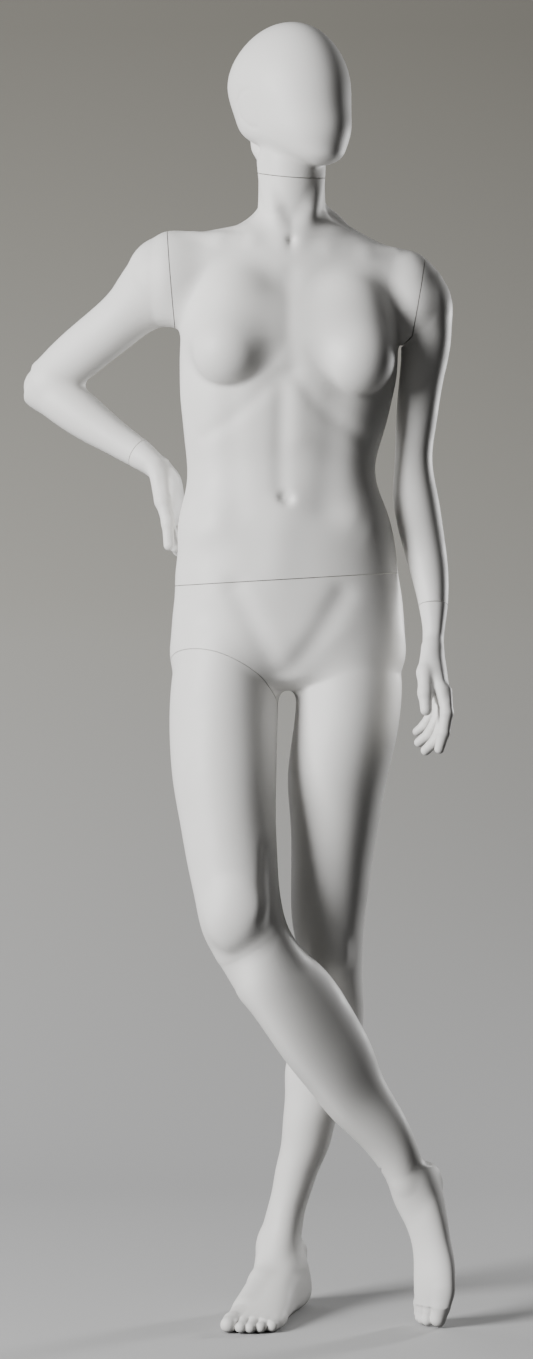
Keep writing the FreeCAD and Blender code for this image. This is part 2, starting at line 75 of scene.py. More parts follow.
SIDE = np.array((1.0, 0.0, 0.0))
BACK = np.array((0.0, 1.0, 0.0))


# -------- fields

def unit(vector):
    vector = np.asarray(vector, float)
    return vector / np.linalg.norm(vector)


def cubic_spline(knots, values, where):
    """Natural cubic spline through values at knots, evaluated at where."""
    count = len(knots)
    gap = np.diff(knots)
    matrix = np.eye(count)
    right = np.zeros((count, values.shape[1]))
    for k in range(1, count - 1):
        matrix[k, k - 1:k + 2] = gap[k - 1], 2 * (gap[k - 1] + gap[k]), gap[k]
        right[k] = 6 * ((values[k + 1] - values[k]) / gap[k] - (values[k] - values[k - 1]) / gap[k - 1])
    bend = np.linalg.solve(matrix, right)
    k = np.clip(np.searchsorted(knots, where) - 1, 0, count - 2)
    h = gap[k][:, None]
    a = (knots[k + 1] - where)[:, None]
    b = (where - knots[k])[:, None]
    return ((bend[k] * a ** 3 + bend[k + 1] * b ** 3) / (6 * h)
            + (values[k] / h - bend[k] * h / 6) * a + (values[k + 1] / h - bend[k + 1] * h / 6) * b)


def column(rows, axis=UP, side=SIDE, power=2.0):
    """A solid splined through ovals square to a straight axis.

    A row is (x, y, z, half width along side, depth to the front, depth to the back). With the axis
    up and side to the figure's left, front is -Y and back is +Y.
    """
    axis = unit(axis)
    side = unit(side - axis * np.dot(side, axis))
    deep = np.cross(axis, side)
    rows = np.array(rows, float)
    rows = rows[np.argsort(rows[:, :3] @ axis)]
    knots = rows[:, :3] @ axis
    low, high = knots[0], knots[-1]
    table = cubic_spline(knots, rows, np.arange(low, high + SPLINE_STEP, SPLINE_STEP))

    def field(p):
        along = p @ axis
        place = np.clip((along - low) / SPLINE_STEP, 0, len(table) - 1.001)
        k = place.astype(int)
        part = (place - k)[:, None]
        row = table[k] * (1 - part) + table[k + 1] * part
        out = p - row[:, :3]
        x = out @ side
        y = out @ deep
        depth = np.where(y < 0, row[:, 4], row[:, 5])
        radius = np.hypot(x, y) + 1e-6
        if power == 2.0:
            ratio = np.hypot(x / row[:, 3], y / depth)
        else:
            ratio = (np.abs(x / row[:, 3]) ** power + np.abs(y / depth) ** power) ** (1 / power)
        wall = radius * (1 - 1 / (ratio + 1e-6))
        past = np.maximum(np.maximum(low - along, along - high), 0)
        return np.where(past > 0, np.hypot(np.maximum(wall, 0), past), wall)

    return field


def egg(centre, radii, turn=0.0, lean=0.0):
    """An ellipsoid, turned about Z and then leaned about its own X, in degrees."""
    centre = np.array(centre, float)
    radii = np.array(radii, float)
    c, s = math.cos(math.radians(turn)), math.sin(math.radians(turn))
    e, f = math.cos(math.radians(lean)), math.sin(math.radians(lean))
    frame_in = np.array(((c, s, 0), (-s, c, 0), (0, 0, 1)))
    leaned = np.array(((1, 0, 0), (0, e, f), (0, -f, e))) @ frame_in

    def field(p):
        q = (p - centre) @ leaned.T
        k0 = np.linalg.norm(q / radii, axis=1)
        k1 = np.linalg.norm(q / radii ** 2, axis=1)
        return k0 * (k0 - 1) / (k1 + 1e-9)

    return field


def rod(path, blend=4.0):
    """Round bones through (x, y, z, radius) points, blended into each other."""
    bones = [(np.array(a[:3], float), np.array(b[:3], float), a[3], b[3]) for a, b in zip(path, path[1:])]

    def field(p):
        whole = None
        for start, end, r1, r2 in bones:
            run = end - start
            t = np.clip((p - start) @ run / (run @ run), 0, 1)
            bone = np.linalg.norm(p - start - t[:, None] * run, axis=1) - (r1 + (r2 - r1) * t)
            whole = bone if whole is None else smooth_union(whole, bone, blend)
        return whole

    return field


def smooth_union(a, b, blend):
    share = np.maximum(blend - np.abs(a - b), 0) / blend
    return np.minimum(a, b) - share * share * blend * 0.25


def smooth_cut(a, b, blend):
    """What is in a and not in b."""
    return -smooth_union(-a, b, blend)


def blended(first, *others):
    """One field from a first field and (field, blend) pairs, each joined to those before it."""
    def field(p):
        whole = first(p)
        for shape, blend in others:
            whole = smooth_union(whole, shape(p), blend)
        return whole
    return field


def stroke(path, width, depth):
    """A groove (or, with a negative depth, a ridge) along a line of points, fading across width."""
    path = [np.array(q, float) for q in path]
    low = np.min(path, axis=0) - 3 * width
    high = np.max(path, axis=0) + 3 * width

    def push(p):
        result = np.zeros(len(p))
        near = np.all((p > low) & (p < high), axis=1)
        q = p[near]
        if len(q):
            best = np.full(len(q), np.inf)
            for a, b in zip(path, path[1:]):
                run = b - a
                t = np.clip((q - a) @ run / (run @ run), 0, 1)
                best = np.minimum(best, np.linalg.norm(q - a - t[:, None] * run, axis=1))
            result[near] = depth * np.exp(-(best / width) ** 2)
        return result

    return push


def engraved(field, strokes):
    """A field with strokes pushed into it."""
    def carved(p):
        value = field(p)
        for push in strokes:
            value = value + push(p)
        return value
    return carved


def on_skin(field, points, direction):
    """Moves points along direction until they meet the surface of a field from outside."""
    points = np.array(points, float)
    direction = unit(direction)
    start = points - direction * 260
    travel = np.zeros(len(points))
    for _ in range(60):
        travel += 0.7 * np.maximum(field(start + travel[:, None] * direction), 0)
    return start + travel[:, None] * direction


# -------- meshing

def sample(field, points, chunk=30000):
    """A field at many points, in chunks that share the processor cores."""
    parts = [points[k:k + chunk] for k in range(0, len(points), chunk)]
    if not parts:
        return np.zeros(0)
    with ThreadPoolExecutor(4) as pool:
        return np.concatenate(list(pool.map(field, parts)))


def grid_points(low, counts, step):
    axes = [low[k] + step * np.arange(counts[k]) for k in range(3)]
    return np.stack(np.meshgrid(*axes, indexing="ij"), axis=-1).reshape(-1, 3)


def cell_corners(cells):
    """The eight parts of a grid of points that hold one corner of every cell."""
    return [tuple(slice(c, c + n) for c, n in zip(corner, cells)) for corner in np.ndindex(2, 2, 2)]


def sampled_grid(field, low, high, coarse, steps):
    """Field values on a fine grid, worked out only where the surface is near."""
    cells = np.ceil((np.array(high) - low) / coarse).astype(int)
    rough = sample(field, grid_points(low, cells + 1, coarse)).reshape(cells + 1)
    near = np.abs(rough) < coarse * NEAR_SURFACE
    busy = np.zeros(cells, bool)
    for part in cell_corners(cells):
        busy |= near[part]
    fine_cells = cells * steps
    values = np.empty(fine_cells + 1, np.float32)
    nearest = [np.minimum((np.arange(n + 1) + steps // 2) // steps, c) for n, c in zip(fine_cells, cells)]
    values[:] = rough[np.ix_(*nearest)]
    mask = np.zeros(fine_cells + 1, bool)
    spread = busy
    for axis in range(3):
        spread = np.repeat(spread, steps, axis=axis)
    for part in cell_corners(fine_cells):
        mask[part] |= spread
    where = np.argwhere(mask)
    values[mask] = sample(field, np.array(low) + where * (coarse / steps))
    return values, coarse / steps


def surface_net(values, low, step):
    """Points and quads of the zero surface: one point in each cell that the surface crosses."""
    inside = values < 0
    shape = np.array(values.shape) - 1
    total = np.zeros(shape, np.int8)
    for part in cell_corners(shape):
        total += inside[part]
    mixed = (total > 0) & (total < 8)
    cells = np.argwhere(mixed)
    number = np.full(shape, -1, np.int64)
    number[mixed] = np.arange(len(cells))
    place = np.zeros((len(cells), 3))
    crossings = np.zeros(len(cells))
    for axis in range(3):
        ahead = np.eye(3, dtype=int)[axis]
        for pair in np.ndindex(2, 2):
            corner = np.insert(pair, axis, 0)
            first = values[tuple((cells + corner).T)].astype(float)
            second = values[tuple((cells + corner + ahead).T)].astype(float)
            cross = (first < 0) != (second < 0)
            share = np.where(cross, first / np.where(cross, first - second, 1), 0)
            place += np.where(cross[:, None], corner + share[:, None] * ahead, 0)
            crossings += cross
    points = np.array(low) + (cells + place / crossings[:, None]) * step
    quads = []
    for axis in range(3):
        b, c = [k for k in range(3) if k != axis]
        first = [slice(1, -1)] * 3
        first[axis] = slice(0, -1)
        second = list(first)
        second[axis] = slice(1, None)
        start, end = inside[tuple(first)], inside[tuple(second)]
        for rising in (True, False):
            edge = np.argwhere((start != end) & (start == rising))
            edge[:, b] += 1
            edge[:, c] += 1
            ring = []
            for db, dc in ((-1, -1), (0, -1), (0, 0), (-1, 0)):
                cell = edge.copy()
                cell[:, b] += db
                cell[:, c] += dc
                ring.append(number[tuple(cell.T)])
            quad = np.stack(ring, axis=1)
            if rising == (axis == 1):
                quad = quad[:, ::-1]
            quads.append(quad)
    return points, np.concatenate(quads)


def settle(field, points, limit, reach=0.3):
    """Moves mesh points onto the exact surface of the field."""
    value = sample(field, points)
    slopes = [(sample(field, points + reach * axis) - value) / reach for axis in np.eye(3)]
    gradient = np.stack(slopes, axis=1)
    gradient /= np.maximum((gradient ** 2).sum(axis=1), 0.1)[:, None]
    start = points
    for _ in range(2):
        points = points - gradient * value[:, None]
        move = points - start
        size = np.linalg.norm(move, axis=1, keepdims=True)
        points = start + move * np.minimum(1, limit / np.maximum(size, 1e-9))
        value = sample(field, points)
    return points


def sculpt(name, field, low, high, coarse=COARSE, steps=SKIN_STEPS):
    """The mesh of a field, closed off at the sides of a box, as an object."""
    low, high = np.array(low, float), np.array(high, float)
    middle, half = (low + high) / 2, (high - low) / 2 - coarse

    def boxed(p):
        return np.maximum(field(p), (np.abs(p - middle) - half).max(axis=1))

    values, step = sampled_grid(boxed, low, high, coarse, steps)
    points, quads = surface_net(values, low, step)
    return mesh_object(name, settle(boxed, points, step * 0.5), quads)


def mesh_object(name, points, faces):
    """An object from points in millimetres."""
    mesh = bpy.data.meshes.new(name)
    mesh.from_pydata((np.asarray(points, float) * MM).tolist(), [], [tuple(face) for face in faces])
    piece = bpy.data.objects.new(name, mesh)
    bpy.context.scene.collection.objects.link(piece)
    return piece


# -------- cuts

def outward(piece):
    """Turns every face outward."""
    body = bmesh.new()
    body.from_mesh(piece.data)
    bmesh.ops.recalc_face_normals(body, faces=body.faces)
    body.to_mesh(piece.data)
    body.free()
    return piece


def drum(first, second):
    """A solid between two rings with the same number of points."""
    count = len(first)
    faces = [tuple(range(count)), tuple(range(count, 2 * count))]
    faces += [(k, (k + 1) % count, count + (k + 1) % count, count + k) for k in range(count)]
    return outward(mesh_object("tool", [*first, *second], faces))


def prism(outline, front, back):
    """A solid from an outline of (x, z) points, between two depths."""
    return drum(*([(x, depth, z) for x, z in outline] for depth in (front, back)))


def cross_axes(normal):
    """A unit axis and two directions square to it."""
    normal = unit(normal)
    across = unit(np.cross(normal, ASKEW))
    return normal, across, np.cross(normal, across)


def block(point, normal, start, end, reach):
    """A box between two offsets from a plane, reaching sideways from a point on it."""
    normal, across, deep = cross_axes(normal)
    ring = [(across * a + deep * b) * reach for a, b in ((-1, -1), (1, -1), (1, 1), (-1, 1))]
    return drum(*(np.array(point) + normal * along + ring for along in (start, end)))


def cylinder(point, axis, start, end, radius, sides=64):
    """A round bar between two offsets along an axis through a point."""
    axis, across, deep = cross_axes(axis)
    angles = 2 * math.pi * np.arange(sides) / sides
    ring = radius * (np.cos(angles)[:, None] * across + np.sin(angles)[:, None] * deep)
    return drum(*(np.array(point) + axis * along + ring for along in (start, end)))


def discard(piece):
    """Removes an object together with its mesh."""
    mesh = piece.data
    bpy.data.objects.remove(piece)
    bpy.data.meshes.remove(mesh)


def boolean(piece, tool, operation):
    """Cuts or intersects a piece with a tool, which is used up."""
    change = piece.modifiers.new("boolean", "BOOLEAN")
    change.operation = operation
    change.object = tool
    for solver in ("MANIFOLD", "EXACT"):
        change.solver = solver
        evaluated = piece.evaluated_get(bpy.context.evaluated_depsgraph_get())
        solved = bpy.data.meshes.new_from_object(evaluated)
        if solved.polygons:
            break
    piece.modifiers.clear()
    old = piece.data
    piece.data = solved
    bpy.data.meshes.remove(old)
    discard(tool)
    return piece


def cut(piece, *tools):
    """Takes tools away from a piece."""
    for tool in tools:
        boolean(piece, tool, "DIFFERENCE")
    return piece


def joined(*parts):
    """Several meshes as one object."""
    first = parts[0]
    with bpy.context.temp_override(active_object=first, selected_editable_objects=list(parts)):
        bpy.ops.object.join()
    return first


class Seam:
    """A cut through the figure, with what a hollow piece shows at it: a lip and a plywood board.

    The normal points into the child piece, reach is how far the cut spreads from its point, and bore
    is the radius of the hole in the socket's board.
    """

    def __init__(self, name, point, normal, reach, bore):
        self.name = name
        self.point = np.array(point, float)
        self.normal = unit(normal)
        self.reach = reach
        self.bore = bore

    def side(self, outer, offset=0.0, reach=None):
        """A block that fills the child side (outer) or the parent side of the plane."""
        depth = 2 * self.reach
        start, end = (offset, depth) if outer else (-depth, offset)
        return block(self.point, self.normal, start, end, reach or self.reach)

    def core(self, field, inset, start, end):
        """The inside of the skin between two offsets from the plane."""
        low, high = self.point - self.reach, self.point + self.reach
        middle, half = (start + end) / 2, (end - start) / 2 + CORE_MARGIN

        def layer(p):
            away = np.abs((p - self.point) @ self.normal - middle) - half
            value = away.copy()
            near = away < 2 * CORE_MARGIN
            value[near] = np.maximum(field(p[near]) + inset, away[near])
            return value

        core = sculpt("core", layer, low, high, steps=2)
        return boolean(core, block(self.point, self.normal, start, end, 2 * self.reach), "INTERSECT")

    def open_end(self, piece, field, outer, body):
        """Sinks the open end of a piece inside its lip, and puts a plywood board in."""
        if outer:
            hollow = self.core(field, LIP, SEAM_GAP - OVERCUT, SEAM_GAP + LIP_DEPTH)
            board = self.core(field, LIP + GLUE, SPIGOT_BOARD_START, SPIGOT_BOARD_START + BOARD)
            name = self.name + "_spigot"
        else:
            hollow = self.core(field, LIP, -LIP_DEPTH, OVERCUT)
            board = self.core(field, LIP + GLUE, -SOCKET_BOARD_RECESS - BOARD, -SOCKET_BOARD_RECESS)
            cut(board, cylinder(self.point, self.normal, *BOARD_BORE, self.bore))
            name = self.name + "_socket"
        cut(piece, hollow)
        finished(board, name + "_plywood", "board", body, name + "_board")


def without_scraps(piece):
    """Removes the loose slivers that cuts leave behind."""
    body = bmesh.new()
    body.from_mesh(piece.data)
    seen = set()
    scraps = []
    for start in body.verts:
        if start in seen:
            continue
        seen.add(start)
        island = [start]
        for vert in island:
            near = {edge.other_vert(vert) for edge in vert.link_edges} - seen
            seen |= near
            island += sorted(near, key=lambda other: other.index)
        if len(island) < SCRAP:
            scraps += island
    bmesh.ops.delete(body, geom=scraps, context="VERTS")
    body.to_mesh(piece.data)
    body.free()


def crisp(piece):
    """Smooth shading that keeps the cut edges sharp."""
    piece.data.shade_smooth()
    piece.data.set_sharp_from_angle(angle=math.radians(SHARP_ANGLE))


# -------- trunk

CHEST = column([
    (12, -55, 1490, 60, 33, 63), (12, -55, 1460, 105, 45, 76), (12, -55, 1430, 135, 56, 86),
    (10, -55, 1400, 148, 72, 91), (9, -55, 1360, 151, 86, 93), (8, -55, 1330, 151, 88, 92),
    (7, -55, 1300, 150, 88, 89), (4.5, -55, 1270, 146.5, 86, 84), (2.5, -55, 1240, 141.5, 83, 79),
    (-0.5, -55, 1210, 135.5, 80, 74), (-2.5, -55, 1180, 130.5, 77, 71), (-1.5, -55, 1150, 132.5, 80, 69),
    (0.5, -55, 1120, 141.5, 83, 72), (2.5, -55, 1090, 148.5, 86, 75), (5, -55, 1060, 151, 87, 81),
    (5, -55, 1030, 154, 89, 87), (7, -55, 1000, 157, 91, 93), (7, -55, 970, 160, 91, 97),
    (7, -55, 940, 162, 91, 99), (7, -55, 912, 161, 84, 96), (6, -55, 893, 148, 74, 84),
    (3, -55, 878, 110, 55, 60), (0, -55, 868, 50, 26, 36),
], power=2.25)
# From shoulder to shoulder.
GIRDLE = column([
    (-188, -43, 1438, 14, 18, 18), (-176, -44, 1440, 34, 46, 42), (-155, -45, 1440, 47, 60, 58),
    (-120, -43, 1444, 52, 62, 58), (-92, -42, 1448, 57, 60, 59), (-60, -40, 1452, 62, 60, 62),
    (-40, -39, 1455, 64, 60, 66), (14, -38, 1458, 66, 60, 70), (66, -38, 1452, 64, 60, 66),
    (92, -40, 1445, 60, 60, 62), (120, -42, 1436, 57, 60, 58), (155, -44, 1424, 50, 60, 57),
    (187, -45, 1411, 47, 58, 59), (204, -45, 1404, 32, 42, 44), (216, -45, 1400, 14, 18, 18),
], axis=SIDE, side=BACK)
NECK_SHAPE = column([
    (12, -38, 1460, 64, 50, 56), (12, -38, 1490, 56, 50, 54), (12, -39, 1515, 50, 50, 52),
    (12, -42, 1545, 46.5, 50, 50), (12, -46, 1582, 46, 49, 50), (13, -52, 1620, 44, 46, 50),
    (14, -54, 1650, 38, 40, 44),
])
RIGHT_BREAST = blended(
    egg((-74, -121, 1334), (51, 48, 50)),
    (egg((-62, -106, 1378), (50, 36, 66)), 30),
)
LEFT_BREAST = blended(
    egg((104, -119, 1322), (49, 47, 50)),
    (egg((93, -104, 1366), (49, 36, 66)), 30),
)
NECK_MUSCLES = blended(
    rod([(2, -90, 1485, 8), (-12, -82, 1530, 8), (-26, -54, 1600, 6)]),
    (rod([(20, -90, 1483, 8), (36, -76, 1530, 8), (46, -48, 1600, 6)]), 4),
)
TRAPEZIUS = blended(
    rod([(-6, 2, 1555, 13), (-38, -6, 1510, 15), (-95, -20, 1484, 14)], 14),
    (rod([(32, 6, 1557, 15), (65, -3, 1515, 17), (118, -22, 1477, 15)], 14), 10),
)
CLAVICLES = blended(
    rod([(28, -86, 1478, 7), (60, -87, 1470, 7), (110, -77, 1463, 8), (152, -60, 1466, 9)], 10),
    (rod([(-4, -86, 1485, 7), (-40, -86, 1485, 7), (-85, -76, 1486, 8), (-122, -60, 1489, 8.5)], 10), 8),
)
BUTTOCKS = blended(
    egg((-70, -4, 908), (72, 58, 66)),
    (egg((83, -2, 912), (72, 60, 68)), 10),
)
NECK = blended(NECK_SHAPE, (TRAPEZIUS, 22), (NECK_MUSCLES, 15))


def trunk_core(p):
    """The trunk without grooves, each form worked out only where it reaches."""
    whole = CHEST(p)
    z = p[:, 2]
    at = z > 1330
    whole[at] = smooth_union(whole[at], GIRDLE(p[at]), 30)
    at = z > 1420
    whole[at] = smooth_union(whole[at], NECK(p[at]), 18)
    whole[at] = smooth_union(whole[at], CLAVICLES(p[at]), 14)
    at = (z > 1230) & (z < 1480) & (p[:, 1] < -20)
    soft = np.clip((z[at] - 1290) / 60, 0, 1) * 24 + 7
    whole[at] = smooth_union(whole[at], RIGHT_BREAST(p[at]), soft)
    whole[at] = smooth_union(whole[at], LEFT_BREAST(p[at]), soft)
    at = z < 1020
    whole[at] = smooth_union(whole[at], BUTTOCKS(p[at]), 26)
    return whole


def front_line(points, width, depth):
    """A groove down the front of the trunk, from (x, z) points."""
    return stroke(on_skin(CHEST, [(x, -55, z) for x, z in points], BACK), width, depth)


def back_line(points, width, depth):
    """A groove down the back of the trunk, from (x, z) points."""
    return stroke(on_skin(CHEST, [(x, -55, z) for x, z in points], -BACK), width, depth)


TRUNK = engraved(trunk_core, [
    front_line([(-2, 1280), (-4, 1200), (-3, 1145)], 13, 3.0),
    front_line([(20, 1280), (20, 1215)], 16, -1.5),
    front_line([(70, 1262), (66, 1200), (62, 1150), (60, 1120)], 24, 4.0),
    front_line([(-70, 1262), (-70, 1200), (-66, 1150), (-62, 1120)], 20, 2.2),
    front_line([(12, 1300), (45, 1262), (80, 1232), (112, 1212)], 12, 2.4),
    front_line([(-4, 1300), (-40, 1266), (-76, 1236), (-110, 1216)], 12, 2.0),
    front_line([(3, 1122), (-6, 1075), (-8, 1040)], 28, -3.0),
    front_line([(100, 1102), (116, 1092)], 24, -4.0),
    front_line([(-94, 1096), (-110, 1086)], 24, -4.0),
    front_line([(2, 1132), (5, 1130)], 8, 8.0),
    front_line([(10, 1440), (10, 1360), (14, 1310)], 14, 2.0),
    stroke([(11, -97, 1484), (11, -94, 1470)], 9, 5.5),
    front_line([(-66, 1005), (-44, 962), (-24, 925), (-9, 893)], 17, 4.5),
    front_line([(80, 998), (58, 958), (34, 922), (9, 893)], 17, 4.5),
    back_line([(10, 1440), (8, 1350), (2, 1250), (-2, 1170), (2, 1090)], 15, 5.5),
    back_line([(-62, 1390), (-78, 1340)], 34, -5.0),
    back_line([(84, 1382), (100, 1332)], 34, -5.0),
    stroke([(6, 44, 985), (6, 46, 930), (5, 20, 872)], 9, 9.0),
])

# -------- arms

RIGHT_ARM_AXIS = unit((-182, 121, -142))
RIGHT_UPPER = column([
    (-166, -40, 1428, 34, 40, 40), (-186, -32, 1417, 42, 47, 47),
    (-208, -21, 1400, 40, 41, 41), (-232, -5, 1380, 38.5, 37.5, 37.5), (-268, 22, 1353.5, 37, 36.5, 36.5),
    (-303, 49, 1327, 35, 35, 35), (-332, 70, 1304, 32, 31.5, 31.5),
], axis=-RIGHT_ARM_AXIS, side=BACK)
RIGHT_FOREARM = column([
    (-344, 76, 1299, 30, 32, 32), (-312, 58, 1275, 33, 33, 33), (-268, 37, 1242, 30.5, 29.5, 29.5),
    (-232, 19, 1217, 25, 24, 24), (-203, 5, 1198, 22, 21, 21), (-180, -6, 1183, 22, 18, 18),
], axis=(-141, 71, 103), side=BACK)
RIGHT_ARM = blended(
    RIGHT_UPPER, (RIGHT_FOREARM, 16), (egg((-336, 75, 1295), (32, 31, 31)), 14),
    (egg((-160, -43, 1439), (58, 50, 59.5)), 12),
)
LEFT_COLUMN = column([
    (192, -46, 1436, 18, 26, 26), (194, -46, 1416, 33, 42, 42), (197, -45, 1385, 37, 42, 42),
    (198, -43, 1343, 34, 38, 38), (191.5, -38, 1293, 30.5, 35, 35), (185, -32, 1235, 28, 33, 33),
    (182, -28, 1190, 26, 32, 32), (185, -33, 1132, 31.5, 36, 36), (192, -46, 1085, 31, 34, 34),
    (201, -64, 1036, 27, 30, 30), (207, -80, 984, 20, 27, 27), (208, -88, 955, 16, 26, 26),
])
LEFT_ARM = blended(LEFT_COLUMN, (egg((185, -45, 1407), (44, 46, 56)), 16))
# The left armhole turns under the arm along a plane of its own.
ARMPIT = np.array((177.6, -45, 1355.8))
ARMPIT_SLOPE = unit((0.66, 0, -0.75))
LEFT_ARMHOLE = [(178.55, 1355.3), (206.5, 1520), (60, 1520), (60, 1250.6)]


def shoulder_blend(p):
    """Soft over the shoulder and tight in the armpit."""
    return np.clip((p[:, 2] - 1340) / 40, 0.1, 1) * 26


def armpit_blend(p):
    return np.clip((p[:, 2] - 1340) / 50, 0.02, 1) * 24


def with_right_arm(p):
    whole = RIGHT_ARM(p)
    at = p[:, 0] > -240
    whole[at] = smooth_union(TRUNK(p[at]), whole[at], shoulder_blend(p[at]))
    return whole


def with_left_arm(p):
    whole = LEFT_ARM(p)
    at = p[:, 2] > 1335
    whole[at] = smooth_union(TRUNK(p[at]), whole[at], armpit_blend(p[at]))
    return whole


def torso_field(p):
    whole = TRUNK(p)
    at = (p[:, 0] < -60) & (p[:, 2] > 1250)
    whole[at] = smooth_union(whole[at], RIGHT_ARM(p[at]), shoulder_blend(p[at]))
    at = (p[:, 0] > 80) & (p[:, 2] > 1320)
    with_arm = smooth_union(whole[at], LEFT_ARM(p[at]), armpit_blend(p[at]))
    whole[at] = np.minimum(whole[at], np.maximum(with_arm, (p[at] - ARMPIT) @ ARMPIT_SLOPE))
    at = p[:, 2] > 1530
    whole[at] = head_neck(p[at])
    return whole


# -------- legs

LEFT_LEG = column([
    (84, -52, 975, 44, 52, 52), (89, -52, 925, 66, 76, 76), (91, -51, 885, 73, 84, 86),
    (91, -50, 853, 73, 85, 86), (83, -48, 790, 72, 80, 82), (75, -45, 740, 68.5, 76, 76),
    (72, -42, 687, 62, 70, 70), (68, -40, 632, 56.6, 64, 64), (65, -38, 588, 54, 60, 60),
    (63, -35, 542, 50, 57, 57), (65, -32, 508, 46, 56, 53), (67, -28, 469, 43.5, 52, 50),
    (67, -24, 440, 45, 49, 54), (64, -17, 400, 48, 46, 60), (58, -12, 365, 48.5, 44, 62),
    (50, -8, 336, 46.5, 42, 60), (45, -4, 300, 42, 41, 52), (37, 0, 261, 37, 40, 46),
    (31, 3, 226, 34, 37, 39), (20, 5, 192, 30.5, 34, 36), (13, 6, 165, 28, 33, 35),
    (5, 6, 137, 27, 33, 36), (0, 4, 115, 28, 36, 38), (-4, 0, 90, 29, 42, 36), (-5, -4, 66, 28, 44, 34),
])
HEEL = np.array((20.0, 34.0, 0.0))
FOOT_FORWARD = unit((-0.256, -0.967, 0))
FOOT_ACROSS = unit((-0.967, 0.256, 0))


def foot_point(forward, across, height):
    """A point of the left foot, measured from the heel on the floor."""
    return HEEL + FOOT_FORWARD * forward + FOOT_ACROSS * across + UP * height


def foot_row(forward, across, height, half, down, up):
    """A row of the sole's column."""
    return (*foot_point(forward, across, height), half, up, down)


def toe(points, blend=5.0):
    """A toe of the left foot through points of (forward, across, height, radius)."""
    return rod([(*foot_point(*point[:3]), point[3]) for point in points], blend)


LEFT_SOLE = column([
    foot_row(4, 0, 22, 16, 18, 20), foot_row(20, 0, 26, 26, 26, 36), foot_row(45, 0, 30, 30, 31, 52),
    foot_row(80, 1, 28, 31, 28, 46), foot_row(112, 6, 24, 34, 24, 36), foot_row(144, 9, 20, 38, 20, 25),
    foot_row(174, 11, 15, 40, 15, 17), foot_row(192, 11, 13, 38, 13, 12), foot_row(207, 11, 11, 33, 10, 9),
], axis=FOOT_FORWARD, side=FOOT_ACROSS, power=2.3)
LEFT_TOES = [
    toe([(181, 34, 13, 13), (206, 38, 12, 12), (224, 38.5, 11, 11)]),
    toe([(188, 17, 12, 8.5), (211, 20, 11, 7.5), (226, 20.5, 8.5, 8)]),
    toe([(186, 4, 12, 8.2), (209, 7.5, 10.5, 7.2), (223, 8, 8, 7.6)]),
    toe([(181, -9, 11, 8), (202, -6, 10, 7), (216, -4.5, 7.6, 7.4)]),
    toe([(173, -21, 10.5, 8.5), (192, -19.5, 9, 7.8), (206, -18, 8, 7.8)]),
]
LEFT_INSTEP = rod([(-12, -12, 78, 17), (-29, -55, 46, 18), (-51, -108, 24, 13)], 10)


LEFT_HEEL = egg((3, 13, 27), (27, 30, 30))
LEFT_KNEECAP = egg((62, -80, 503), (21, 14, 27))
LEFT_INNER_ANKLE = egg((-22, 5, 90), (8, 12, 14))
LEFT_OUTER_ANKLE = egg((25, 12, 78), (9, 12, 13))
ANKLE_TOP = 150
FLOOR_BLEND = 6.0


def with_digits(whole, digits, p, between, root):
    """Adds toes or fingers that stay apart from each other and melt into the foot or hand."""
    together = digits[0](p)
    for digit in digits[1:]:
        together = smooth_union(together, digit(p), between)
    return smooth_union(whole, together, root)


def left_foot(p):
    whole = smooth_union(LEFT_SOLE(p), LEFT_HEEL(p), 12)
    whole = smooth_union(whole, LEFT_INSTEP(p), 14)
    return with_digits(whole, LEFT_TOES, p, 1.2, 7)


def left_leg(p):
    whole = LEFT_LEG(p)
    at = p[:, 2] < ANKLE_TOP
    whole[at] = smooth_union(whole[at], left_foot(p[at]), 26)
    whole = smooth_union(whole, LEFT_KNEECAP(p), 22)
    whole = smooth_union(whole, LEFT_INNER_ANKLE(p), 18)
    whole = smooth_union(whole, LEFT_OUTER_ANKLE(p), 14)
    return smooth_cut(whole, p[:, 2], FLOOR_BLEND)


THIGH_AXIS = unit((-51, 108, 473))
SHIN_AXIS = unit((-213, -52, 314))
RIGHT_THIGH = column([
    (-78, -42, 965, 60, 72, 72), (-79, -55, 905, 73, 88, 88), (-81.5, -65, 853, 75.5, 88, 88),
    (-82, -80, 792, 74, 82, 82), (-80, -95, 743, 71, 76, 76), (-76, -108, 694, 66, 70, 70),
    (-70, -122, 640, 62, 64, 64), (-62, -136, 585, 58, 60, 60), (-50, -146, 535, 56, 50, 57),
    (-32, -150, 492, 42, 20, 46), (-20, -150, 466, 24, 6, 28),
], axis=THIGH_AXIS)
